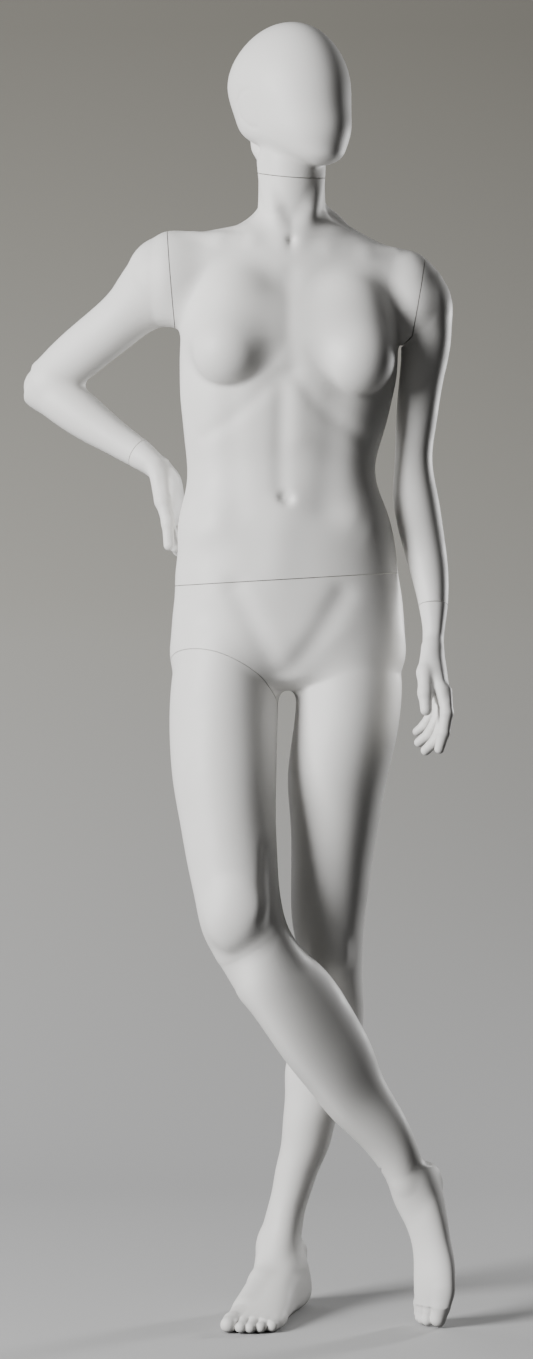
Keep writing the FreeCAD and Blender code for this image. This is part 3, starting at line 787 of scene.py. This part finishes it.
# The shin is turned outward, so that its flat inner face looks to the figure's left.
RIGHT_SHIN = column([
    (-44, -149, 522, 34, 34, 36), (-24, -150, 495, 50, 37, 50), (6, -148, 463, 61, 34, 52),
    (54, -142, 397, 62, 29, 55), (84, -135, 351.5, 55, 27, 56), (106, -128, 311, 46, 27, 50),
    (138.5, -119, 266, 36, 29, 42), (158, -112, 230, 29, 30, 35), (173, -105, 199, 29, 27, 31),
    (184, -98, 178, 30, 27, 33), (190, -96, 160, 24, 22, 26),
], axis=SHIN_AXIS, side=(0.654, 0.616, 0.441), power=2.1)
RIGHT_KNEECAP = egg((-63, -182, 562), (36, 21, 42))
FOOT_LONG = unit((0.8, -0.6, 0))
RIGHT_FOOT = column([
    (182, -99, 215, 22, 22, 22), (181, -100, 200, 28, 26, 28), (184, -100, 182, 33, 26, 32),
    (189, -104, 160, 34, 23, 30), (193.5, -108, 144, 33, 21, 26), (201, -115, 117, 30, 18, 21),
    (206, -122, 89, 31, 17, 18), (206.5, -128, 65, 32, 16, 16), (206, -131, 45, 31, 14, 14),
    (204, -133, 30, 27, 10, 10),
], side=FOOT_LONG, power=2.2)
RIGHT_TOES = [
    rod([(218, -137, 52, 13), (215, -139, 28, 11.5), (211, -138, 12, 11)], 5),
    rod([(203, -129, 48, 8.5), (200, -131, 24, 7.5), (197, -131, 9, 8)], 5),
    rod([(196, -122, 47, 8.2), (193, -124, 24, 7.2), (191, -124, 9, 7.6)], 5),
    rod([(191, -115, 47, 7.8), (188.5, -117, 25, 7), (187.5, -117, 10, 7.2)], 5),
    rod([(187, -108, 46, 7.0), (186, -109, 28, 6.4), (186, -109, 14, 6.6)], 5),
]


RIGHT_HEEL = egg((198, -74, 184), (22, 24, 32), turn=-36)
RIGHT_INNER_ANKLE = egg((168, -116, 196), (10, 11, 13))
RIGHT_ANKLE_TOP = 260


def right_foot(p):
    whole = smooth_union(RIGHT_FOOT(p), RIGHT_HEEL(p), 14)
    return with_digits(whole, RIGHT_TOES, p, 1.2, 7)


def right_leg_core(p):
    """The right leg without the grooves at its knee, standing on its toes."""
    whole = smooth_union(RIGHT_THIGH(p), RIGHT_SHIN(p), 34)
    whole = smooth_union(whole, RIGHT_KNEECAP(p), 26)
    at = p[:, 2] < RIGHT_ANKLE_TOP
    whole[at] = smooth_union(whole[at], right_foot(p[at]), 14)
    whole = smooth_union(whole, RIGHT_INNER_ANKLE(p), 14)
    return np.maximum(whole, -p[:, 2])


INNER_THIGH_LINE = [(-25, -140, 655), (-26, -140, 600), (-27, -140, 562)]
UNDER_KNEE_LINE = [(-27, -140, 545), (-38, -140, 530), (-58, -140, 514)]
RIGHT_LEG = engraved(right_leg_core, [
    stroke(on_skin(right_leg_core, INNER_THIGH_LINE, BACK), 8, 3.0),
    stroke(on_skin(right_leg_core, UNDER_KNEE_LINE, BACK), 17, 4.0),
])
HIP_BOTTOM = 720
HIP_BLEND = 18


def lower_body_field(p):
    """The pelvis with both thigh roots and the standing leg."""
    whole = left_leg(p)
    at = p[:, 2] > HIP_BOTTOM
    crotch_blend = np.clip((p[at, 2] - 840) / 30, 0.02, 1) * 14
    both = smooth_union(RIGHT_THIGH(p[at]), whole[at], crotch_blend)
    whole[at] = smooth_union(TRUNK(p[at]), both, HIP_BLEND)
    return whole


def right_leg_field(p):
    """The right leg melted into the hip that it is cut from."""
    whole = RIGHT_LEG(p)
    at = p[:, 2] > HIP_BOTTOM
    whole[at] = smooth_union(TRUNK(p[at]), whole[at], HIP_BLEND)
    return whole


def thigh_root(p):
    """The right thigh and hip at the seam between them, ending at the crotch."""
    return np.maximum(smooth_union(TRUNK(p), RIGHT_THIGH(p), HIP_BLEND), p[:, 0] + 6)


# -------- head and hands

HEAD_CENTRE = np.array((10.0, -52.0, 1690.0))
HEAD_TURN = math.radians(42)
HEAD_SIDE = np.array((math.cos(HEAD_TURN), math.sin(HEAD_TURN), 0))
HEAD_BACK = np.array((-math.sin(HEAD_TURN), math.cos(HEAD_TURN), 0))
HEAD_TOP, HEAD_BOTTOM = 103.0, 101.0
# Height above the centre: half width, half depth, and how far back the section lies.
HEAD_ROWS = np.array([
    (-101, 60, 55, -64), (-93, 66, 69, -60), (-82, 69.5, 80, -47), (-62, 71, 99, -22),
    (-29, 69, 98.5, -6), (14, 72.5, 100, 3), (48, 74.5, 100, 4.5), (75, 73.5, 99, 3.5), (103, 73, 99, 1.5),
], float)


def skull(p):
    """A blank head: sections from the table, closed like an egg."""
    q = p - HEAD_CENTRE
    z = q[:, 2]
    steps = np.arange(-HEAD_BOTTOM, HEAD_TOP + SPLINE_STEP, SPLINE_STEP)
    table = cubic_spline(HEAD_ROWS[:, 0], HEAD_ROWS[:, 1:], steps)
    wide, deep, shift = (np.interp(z, steps, table[:, k]) for k in range(3))
    x = q @ HEAD_SIDE
    y = q @ HEAD_BACK - shift
    high = np.where(z > 0, HEAD_TOP, HEAD_BOTTOM)
    ratio = np.sqrt((x / wide) ** 2 + (y / deep) ** 2 + (z / high) ** 2) + 1e-6
    return np.sqrt(x * x + y * y + z * z) * (1 - 1 / ratio)


NAPE = rod([(-30, 6, 1648, 18), (-25.5, 2, 1628, 18), (-13, -2, 1600, 18)])
EAR_LINE = [
    (-48.5, -50, 1694.5), (-58, -50, 1692), (-64, -50, 1680), (-58.5, -50, 1659),
    (-47, -50, 1645.5), (-36, -50, 1642),
]
MARKED_SKULL = engraved(skull, [stroke(on_skin(skull, EAR_LINE, BACK), 3.5, 1.4)])


def head_neck(p):
    whole = MARKED_SKULL(p)
    at = p[:, 2] < 1665
    whole[at] = smooth_union(NECK(p[at]), whole[at], 11)
    whole[at] = smooth_union(whole[at], NAPE(p[at]), 8)
    return whole


RIGHT_PALM = blended(
    column([
        (-215, 11, 1207, 22, 21, 21), (-203, 5, 1198, 22, 21, 21), (-188, -3, 1187, 22, 18.5, 18.5),
        (-172, -8, 1174, 20, 14, 14), (-165, -10, 1168, 14, 10, 10),
    ], axis=(-141, 71, 103), side=BACK),
    (column([
        (-172, -6, 1186, 14, 8, 8), (-167, -4, 1173, 31, 13, 14), (-162, -4, 1158, 37, 12.5, 14),
        (-159, -6, 1140, 37, 12, 13), (-156, -8, 1122, 35, 11, 12), (-153, -8, 1106, 31, 9, 10),
        (-152, -8, 1097, 27, 7, 8),
    ], side=(0.42, 0.907, 0), power=2.3), 14),
)
RIGHT_DIGITS = [
    rod([(-160, -32, 1106, 8.5), (-157, -24, 1086, 8.3), (-150, -11, 1067, 8), (-141, 2, 1055, 7)], 3),
    rod([(-161, -15, 1102, 9.5), (-155, -5, 1080, 9), (-146, 10, 1062, 8.3), (-135, 23, 1050, 7)], 3),
    rod([(-153, 3, 1100, 9), (-148, 13, 1080, 8.6), (-139, 27, 1064, 8), (-128, 38, 1053, 6.8)], 3),
    rod([(-146, 20, 1104, 8.5), (-141, 29, 1088, 7.8), (-133, 39, 1075, 7), (-124, 46, 1067, 6)], 3),
]
RIGHT_THUMB = rod([
    (-170, -26, 1160, 12), (-166.5, -44, 1130, 11), (-159.5, -54, 1098, 8.2), (-158, -58, 1068, 7.5),
], 6)
LEFT_PALM = column([
    (206, -74, 1002, 28, 22, 22), (207, -81, 981, 26.5, 19.5, 19.5), (207, -91, 950, 24, 15, 15),
    (206, -99, 928, 28, 14.5, 14.5), (209, -107, 905, 35, 14, 15), (214, -113, 880, 38.5, 12, 13.5),
    (216, -117, 864, 38, 10.5, 12), (217, -119, 854, 34, 8, 9),
], side=BACK, power=2.25)
LEFT_DIGITS = [
    rod([(220, -146, 868, 9.5), (222, -156, 838, 8.8), (218, -158, 812, 8), (212, -155, 790, 6.8)], 3),
    rod([(219, -126, 864, 9.5), (219, -136, 828, 9), (209, -141, 802, 8.2), (194, -139, 787, 6.8)], 3),
    rod([(216, -106, 862, 9), (212, -114, 830, 8.5), (200, -116, 808, 7.8), (186, -113, 797, 6.6)], 3),
    rod([(211, -88, 864, 8.5), (206, -93, 838, 7.8), (195, -94, 820, 7), (184, -91, 811, 6)], 3),
]
LEFT_THUMB = rod([
    (203, -116, 926, 13), (194, -137, 893, 11.5), (193, -150, 866, 9.5), (194, -156, 843, 8),
], 6)


def hand_field(palm, digits, thumb):
    return lambda p: smooth_union(with_digits(palm(p), digits, p, 2.0, 9), thumb(p), 11)


# -------- materials

def new_material(name):
    material = bpy.data.materials.new(name)
    material.use_nodes = True
    tree = material.node_tree
    return material, tree, tree.nodes["Principled BSDF"]


def node(tree, kind, inputs=None, **settings):
    """A shader node; an input is a value or another node's output."""
    made = tree.nodes.new(kind)
    for key, value in settings.items():
        setattr(made, key, value)
    for key, value in (inputs or {}).items():
        if isinstance(value, bpy.types.NodeSocket):
            tree.links.new(value, made.inputs[key])
        else:
            made.inputs[key].default_value = value
    return made


def noise(tree, scale, detail=3.0, roughness=0.5, stretch=None):
    """Noise in the object's own space, so that it rides with the piece."""
    place = node(tree, "ShaderNodeTexCoord").outputs["Object"]
    if stretch:
        place = node(tree, "ShaderNodeMapping", {"Vector": place, "Scale": stretch}).outputs["Vector"]
    settings = {"Vector": place, "Scale": scale, "Detail": detail, "Roughness": roughness}
    return node(tree, "ShaderNodeTexNoise", settings).outputs["Fac"]


def ramp(tree, fac, low, high, low_value, high_value):
    limits = {"From Min": low, "From Max": high, "To Min": low_value, "To Max": high_value}
    return node(tree, "ShaderNodeMapRange", {"Value": fac, **limits}).outputs["Result"]


def mixed(tree, fac, first, second):
    """A mix of a colour, which may be another node's output, with a second colour."""
    made = node(tree, "ShaderNodeMix", {"Factor": fac}, data_type="RGBA")
    if isinstance(first, bpy.types.NodeSocket):
        tree.links.new(first, made.inputs["A"])
    else:
        made.inputs["A"].default_value = (*first, 1)
    made.inputs["B"].default_value = (*second, 1)
    return made.outputs["Result"]


def painted(tree, shader, colour, roughness):
    tree.links.new(colour, shader.inputs["Base Color"])
    tree.links.new(roughness, shader.inputs["Roughness"])


def bumped(tree, shader, height, strength, distance):
    bump = node(tree, "ShaderNodeBump", {"Height": height, "Strength": strength, "Distance": distance})
    tree.links.new(bump.outputs["Normal"], shader.inputs["Normal"])


def edges(tree, radius=0.004):
    """Bright where the surface bends sharply outward."""
    bevel = node(tree, "ShaderNodeBevel", {"Radius": radius}, samples=4)
    geometry = node(tree, "ShaderNodeNewGeometry")
    both = node(tree, "ShaderNodeVectorMath", {0: bevel.outputs["Normal"], 1: geometry.outputs["Normal"]},
                operation="DOT_PRODUCT")
    return ramp(tree, both.outputs["Value"], 0.98, 0.75, 0.0, 1.0)


def painted_skin():
    """Matt white lacquer on glass fibre: faint cloudiness, spray texture, greyer worn edges."""
    material, tree, shader = new_material("matt_white_lacquer")
    cloud = noise(tree, 6.0, 4.0)
    tone = mixed(tree, ramp(tree, cloud, 0.35, 0.65, 0.0, 1.0), (0.80, 0.79, 0.765), (0.845, 0.835, 0.815))
    specks = ramp(tree, noise(tree, 420.0, 2.0), 0.70, 0.76, 0.0, 0.25)
    tone = mixed(tree, specks, tone, (0.70, 0.69, 0.66))
    tone = mixed(tree, ramp(tree, edges(tree, 0.002), 0.0, 1.0, 0.0, 0.5), tone, (0.60, 0.58, 0.55))
    painted(tree, shader, tone, ramp(tree, noise(tree, 30.0, 4.0), 0.3, 0.7, 0.46, 0.58))
    shader.inputs["IOR"].default_value = 1.45
    bumped(tree, shader, noise(tree, 900.0, 2.0), 0.12, 0.0004)
    return material


def plywood():
    """Birch plywood: long grain on the faces and glued layers on the edges."""
    material, tree, shader = new_material("birch_plywood")
    grain = noise(tree, 14.0, 6.0, 0.65, stretch=(1.0, 9.0, 9.0))
    tone = mixed(tree, ramp(tree, grain, 0.3, 0.7, 0.0, 1.0), (0.62, 0.44, 0.25), (0.78, 0.62, 0.41))
    pores = ramp(tree, noise(tree, 90.0, 3.0, 0.6, stretch=(1.0, 14.0, 14.0)), 0.60, 0.72, 0.0, 0.6)
    tone = mixed(tree, pores, tone, (0.38, 0.24, 0.12))
    painted(tree, shader, tone, ramp(tree, grain, 0.2, 0.8, 0.55, 0.75))
    bumped(tree, shader, grain, 0.35, 0.0008)
    return material


def steel(name, tone, scratch, worn):
    """Turned steel with fine scratches, darker blotches and bright worn edges."""
    material, tree, shader = new_material(name)
    lines = noise(tree, 60.0, 5.0, 0.7, stretch=(1.0, 1.0, 22.0))
    blotch = noise(tree, 35.0, 4.0)
    dark = tuple(channel * 0.62 for channel in tone)
    colour = mixed(tree, ramp(tree, blotch, 0.35, 0.7, 0.0, 1.0), tone, dark)
    colour = mixed(tree, ramp(tree, edges(tree, 0.0008), 0.0, 1.0, 0.0, worn), colour, (0.88, 0.88, 0.87))
    painted(tree, shader, colour, ramp(tree, lines, 0.3, 0.7, 0.24, 0.46))
    shader.inputs["Metallic"].default_value = 1.0
    bumped(tree, shader, lines, scratch, 0.0003)
    return material


def nylon():
    """Natural nylon sheet, slightly translucent, with faint tool marks and grey rubbed spots."""
    material, tree, shader = new_material("nylon_washer")
    rubbed = ramp(tree, noise(tree, 45.0, 4.0), 0.45, 0.7, 0.0, 0.8)
    tone = mixed(tree, rubbed, (0.80, 0.78, 0.70), (0.55, 0.53, 0.48))
    painted(tree, shader, tone, ramp(tree, rubbed, 0.0, 0.8, 0.35, 0.6))
    shader.inputs["Subsurface Weight"].default_value = 0.15
    shader.inputs["Subsurface Radius"].default_value = (0.003, 0.003, 0.003)
    bumped(tree, shader, noise(tree, 320.0, 3.0, stretch=(1.0, 1.0, 6.0)), 0.2, 0.0003)
    return material


LOOKS = {
    "skin": painted_skin(),
    "board": plywood(),
    "fitting": steel("brushed_steel", (0.56, 0.56, 0.55), 0.25, 0.8),
    "screws": steel("zinc_plated_screws", (0.66, 0.64, 0.58), 0.15, 0.9),
    "washer": nylon(),
}


def dressed(piece, slot):
    """Gives a piece the material of a slot."""
    piece.data.materials.clear()
    piece.data.materials.append(LOOKS[slot])


for subpart in frame["record"]["subparts"]:
    dressed(frame["nodes"][subpart["node"]], subpart["material_slot"])

# -------- pieces

SEAMS = {s.name: s for s in (
    Seam("waist", (5, -55, 1020), (-0.058, 0.0, 1.0), 190, 23.15),
    Seam("neck", (12, -45, 1582), (0.075, -0.18, 1.0), 80, 13.15),
    Seam("right_shoulder", (-155, -45, 1440), (-1.0, 0.0, -0.08), 100, 15.15),
    Seam("left_shoulder", (187, -45, 1411), (1.0, 0.0, -0.17), 90, 15.15),
    Seam("right_wrist", (-203, 5, 1198), (0.78, -0.37, -0.50), 42, 8.15),
    Seam("left_wrist", (207, -80, 984), (0.02, -0.27, -0.96), 42, 8.15),
    Seam("thigh", (-82, -60, 872), (-0.366, -0.462, -0.808), 140, 19.15),
)}
LEFT_FOOT_CUT = 130         # the feet are meshed more finely than the legs, below these heights
RIGHT_FOOT_CUT = 215
FOOT_SOCKET_RADIUS = 8.6
FOOT_SOCKET_TOP = 64.6
WRIST_HOLE_RADIUS = 11.6
WRIST_HOLE_DEPTH = 5.1


def finished(piece, name, slot, body, cad_node):
    """Names and dresses a piece that rides a body and stands for a CAD node."""
    piece.name = name
    dressed(piece, slot)
    without_scraps(piece)
    crisp(piece)
    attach(piece, body)
    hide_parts(cad_node)


def make_torso():
    torso = sculpt("torso", torso_field, (-200, -205, 985), (235, 70, 1625))
    cut(torso, SEAMS["waist"].side(False, SEAM_GAP), SEAMS["neck"].side(True, reach=160),
        SEAMS["right_shoulder"].side(True), SEAMS["left_shoulder"].side(True))
    SEAMS["waist"].open_end(torso, TRUNK, True, "upper_torso")
    SEAMS["neck"].open_end(torso, head_neck, False, "upper_torso")
    SEAMS["right_shoulder"].open_end(torso, with_right_arm, False, "upper_torso")
    SEAMS["left_shoulder"].open_end(torso, torso_field, False, "upper_torso")
    finished(torso, "torso_skin", "skin", "upper_torso", "torso_shell")


def make_lower_body():
    low = sculpt("pelvis_and_leg", lower_body_field, (-185, -180, 110), (190, 100, 1060))
    cut(low, SEAMS["waist"].side(True))
    right_half = block((-4, 0, 850), -SIDE, 0, 400, 400)
    cut(low, boolean(SEAMS["thigh"].side(True), right_half, "INTERSECT"))
    cut(low, block((0, 0, LEFT_FOOT_CUT), -UP, 0, 100, 400))
    SEAMS["waist"].open_end(low, TRUNK, False, "lower_body")
    SEAMS["thigh"].open_end(low, thigh_root, False, "lower_body")
    foot = sculpt("foot", left_leg, (-100, -200, -10), (60, 70, 142), FOOT_COARSE, FOOT_STEPS)
    socket = cylinder((0, 0, 0), UP, -5, FOOT_SOCKET_TOP, FOOT_SOCKET_RADIUS)
    cut(foot, block((0, 0, LEFT_FOOT_CUT), UP, 0, 100, 400), socket)
    finished(joined(low, foot), "lower_body_skin", "skin", "lower_body", "lower_body_shell")


def make_right_leg():
    leg = sculpt("leg", right_leg_field, (-185, -230, 200), (240, 90, 1000))
    left_of_crotch = block((-3, 0, 900), SIDE, 0, 300, 200)
    cut(leg, SEAMS["thigh"].side(False, SEAM_GAP), left_of_crotch)
    cut(leg, block((0, 0, RIGHT_FOOT_CUT), -UP, 0, 100, 500))
    SEAMS["thigh"].open_end(leg, thigh_root, True, "right_leg")
    foot = sculpt("foot", RIGHT_LEG, (130, -190, -8), (260, -30, 232), FOOT_COARSE, FOOT_STEPS)
    cut(foot, block((190, -100, RIGHT_FOOT_CUT), UP, 0, 100, 400))
    finished(joined(leg, foot), "right_leg_skin", "skin", "right_leg", "right_leg_shell")


def make_arm(side, field, wrist_field, low, high, root_tool):
    """An arm from its shoulder, where root_tool takes the trunk away, to its wrist."""
    body = side + "_arm"
    arm = sculpt(body, field, low, high)
    cut(arm, root_tool, SEAMS[side + "_wrist"].side(True))
    SEAMS[side + "_shoulder"].open_end(arm, field, True, body)
    SEAMS[side + "_wrist"].open_end(arm, wrist_field, False, body)
    finished(arm, body + "_skin", "skin", body, body + "_shell")


def make_arms():
    make_arm("right", with_right_arm, RIGHT_FOREARM, (-390, -125, 1170), (-130, 125, 1540),
             SEAMS["right_shoulder"].side(False, SEAM_GAP, reach=260))
    make_arm("left", with_left_arm, LEFT_ARM, (130, -150, 950), (260, 30, 1520),
             prism(LEFT_ARMHOLE, -200, 150))


def make_hand(side, palm, digits, thumb, low, high):
    hand = sculpt("hand", hand_field(palm, digits, thumb), low, high, HAND_COARSE, HAND_STEPS)
    seam = SEAMS[side + "_wrist"]
    hole = cylinder(seam.point, seam.normal, -5, WRIST_HOLE_DEPTH, WRIST_HOLE_RADIUS)
    cut(hand, seam.side(False, SEAM_GAP), hole)
    finished(hand, side + "_hand_skin", "skin", side + "_palm", side + "_hand")


def make_head():
    head = sculpt("head", head_neck, (-95, -180, 1545), (110, 75, 1805))
    cut(head, SEAMS["neck"].side(False, SEAM_GAP))
    SEAMS["neck"].open_end(head, head_neck, True, "head")
    finished(head, "head_skin", "skin", "head", "head_shell")


make_torso()
make_lower_body()
make_right_leg()
make_arms()
make_hand("right", RIGHT_PALM, RIGHT_DIGITS, RIGHT_THUMB, (-240, -90, 1025), (-110, 70, 1225))
make_hand("left", LEFT_PALM, LEFT_DIGITS, LEFT_THUMB, (160, -185, 760), (250, -45, 1010))
make_head()

# -------- studio

FLOOR_WIDTH = 7.0
FLOOR_FRONT = -5.6
BACKDROP = 2.6
SWEEP_RADIUS = 1.6
SWEEP_STEPS = 24
BACKDROP_HEIGHT = 5.0
CAMERA_PLACE = (-0.023, -5.055, 1.0)
CAMERA_LENS = 95.540
CAMERA_SHIFT = -0.06275


def grey_paper():
    """Backdrop paper with painted shade that darkens it toward the top, clear from behind, and dim to
    everything but the camera.
    """
    material, tree, shader = new_material("grey_paper")
    place = node(tree, "ShaderNodeTexCoord").outputs["Object"]
    height = node(tree, "ShaderNodeSeparateXYZ", {"Vector": place}).outputs["Z"]
    # painted shade: the grey darkens from the floor up to 1 m and again from 0.9 m to 2.2 m, standing in
    # for the light falling off with height
    low = mixed(tree, ramp(tree, height, 0.0, 1.0, 0.0, 1.0), (0.50, 0.50, 0.50), (0.42, 0.41, 0.375))
    tone = mixed(tree, ramp(tree, height, 0.9, 2.2, 0.0, 1.0), low, (0.25, 0.24, 0.21))
    unseen = ramp(tree, node(tree, "ShaderNodeLightPath").outputs["Is Camera Ray"], 0.0, 1.0, 1.0, 0.0)
    tone = mixed(tree, unseen, tone, (0.10, 0.10, 0.10))
    tree.links.new(tone, shader.inputs["Base Color"])
    shader.inputs["Roughness"].default_value = 0.9
    behind = node(tree, "ShaderNodeNewGeometry").outputs["Backfacing"]
    clear = node(tree, "ShaderNodeBsdfTransparent").outputs["BSDF"]
    blend = node(tree, "ShaderNodeMixShader", {0: behind, 1: shader.outputs["BSDF"], 2: clear})
    tree.links.new(blend.outputs["Shader"], tree.nodes["Material Output"].inputs["Surface"])
    return material


def make_sweep():
    """Paper backdrop that curves into the floor."""
    profile = [(FLOOR_FRONT, 0.0)]
    for step in range(SWEEP_STEPS + 1):
        angle = math.pi / 2 * step / SWEEP_STEPS
        profile.append((BACKDROP - SWEEP_RADIUS + SWEEP_RADIUS * math.sin(angle),
                        SWEEP_RADIUS - SWEEP_RADIUS * math.cos(angle)))
    profile.append((BACKDROP, BACKDROP_HEIGHT))
    points = [(x, y, z) for y, z in profile for x in (-FLOOR_WIDTH / 2, FLOOR_WIDTH / 2)]
    faces = [(2 * k, 2 * k + 1, 2 * k + 3, 2 * k + 2) for k in range(len(profile) - 1)]
    sweep = mesh_object("backdrop", np.array(points) / MM, faces)
    sweep.data.shade_smooth()
    sweep.data.materials.append(grey_paper())


def area_light(name, place, aim, size, power, spread=180):
    """A soft box in metres and watts, turned toward a point."""
    lamp = bpy.data.lights.new(name, "AREA")
    lamp.shape = "RECTANGLE"
    lamp.size, lamp.size_y = size
    lamp.energy = power
    lamp.spread = math.radians(spread)
    light = bpy.data.objects.new(name, lamp)
    light.location = place
    light.rotation_euler = (Vector(aim) - Vector(place)).to_track_quat("-Z", "Y").to_euler()
    bpy.context.scene.collection.objects.link(light)


def make_world():
    """A pale room where the camera looks past the backdrop, and almost dark as a light."""
    world = bpy.data.worlds.new("studio")
    world.use_nodes = True
    tree = world.node_tree
    seen = node(tree, "ShaderNodeLightPath").outputs["Is Camera Ray"]
    sky = tree.nodes["Background"]
    sky.inputs["Color"].default_value = (1.0, 0.98, 0.95, 1)
    tree.links.new(ramp(tree, seen, 0.0, 1.0, 0.022, 0.30), sky.inputs["Strength"])
    bpy.context.scene.world = world


def make_camera():
    camera = bpy.data.cameras.new("camera")
    camera.lens = CAMERA_LENS
    camera.shift_y = CAMERA_SHIFT
    seat = bpy.data.objects.new("camera", camera)
    seat.location = CAMERA_PLACE
    seat.rotation_euler = (math.pi / 2, 0, 0)
    bpy.context.scene.collection.objects.link(seat)
    bpy.context.scene.camera = seat


make_sweep()
make_camera()
area_light("key", (-3.38, -2.4, 2.1), (0, 0, 1.0), (1.6, 2.4), 365)
area_light("rim_left", (-1.7, 1.7, 1.5), (0, 0, 1.1), (0.4, 2.2), 8)
area_light("rim_right", (2.2, 2.0, 1.3), (0.2, 0, 1.2), (0.4, 0.8), 24, spread=110)
area_light("top", (0.0, -0.3, 3.6), (0, 0.2, 0.0), (2.0, 1.5), 8)
make_world()
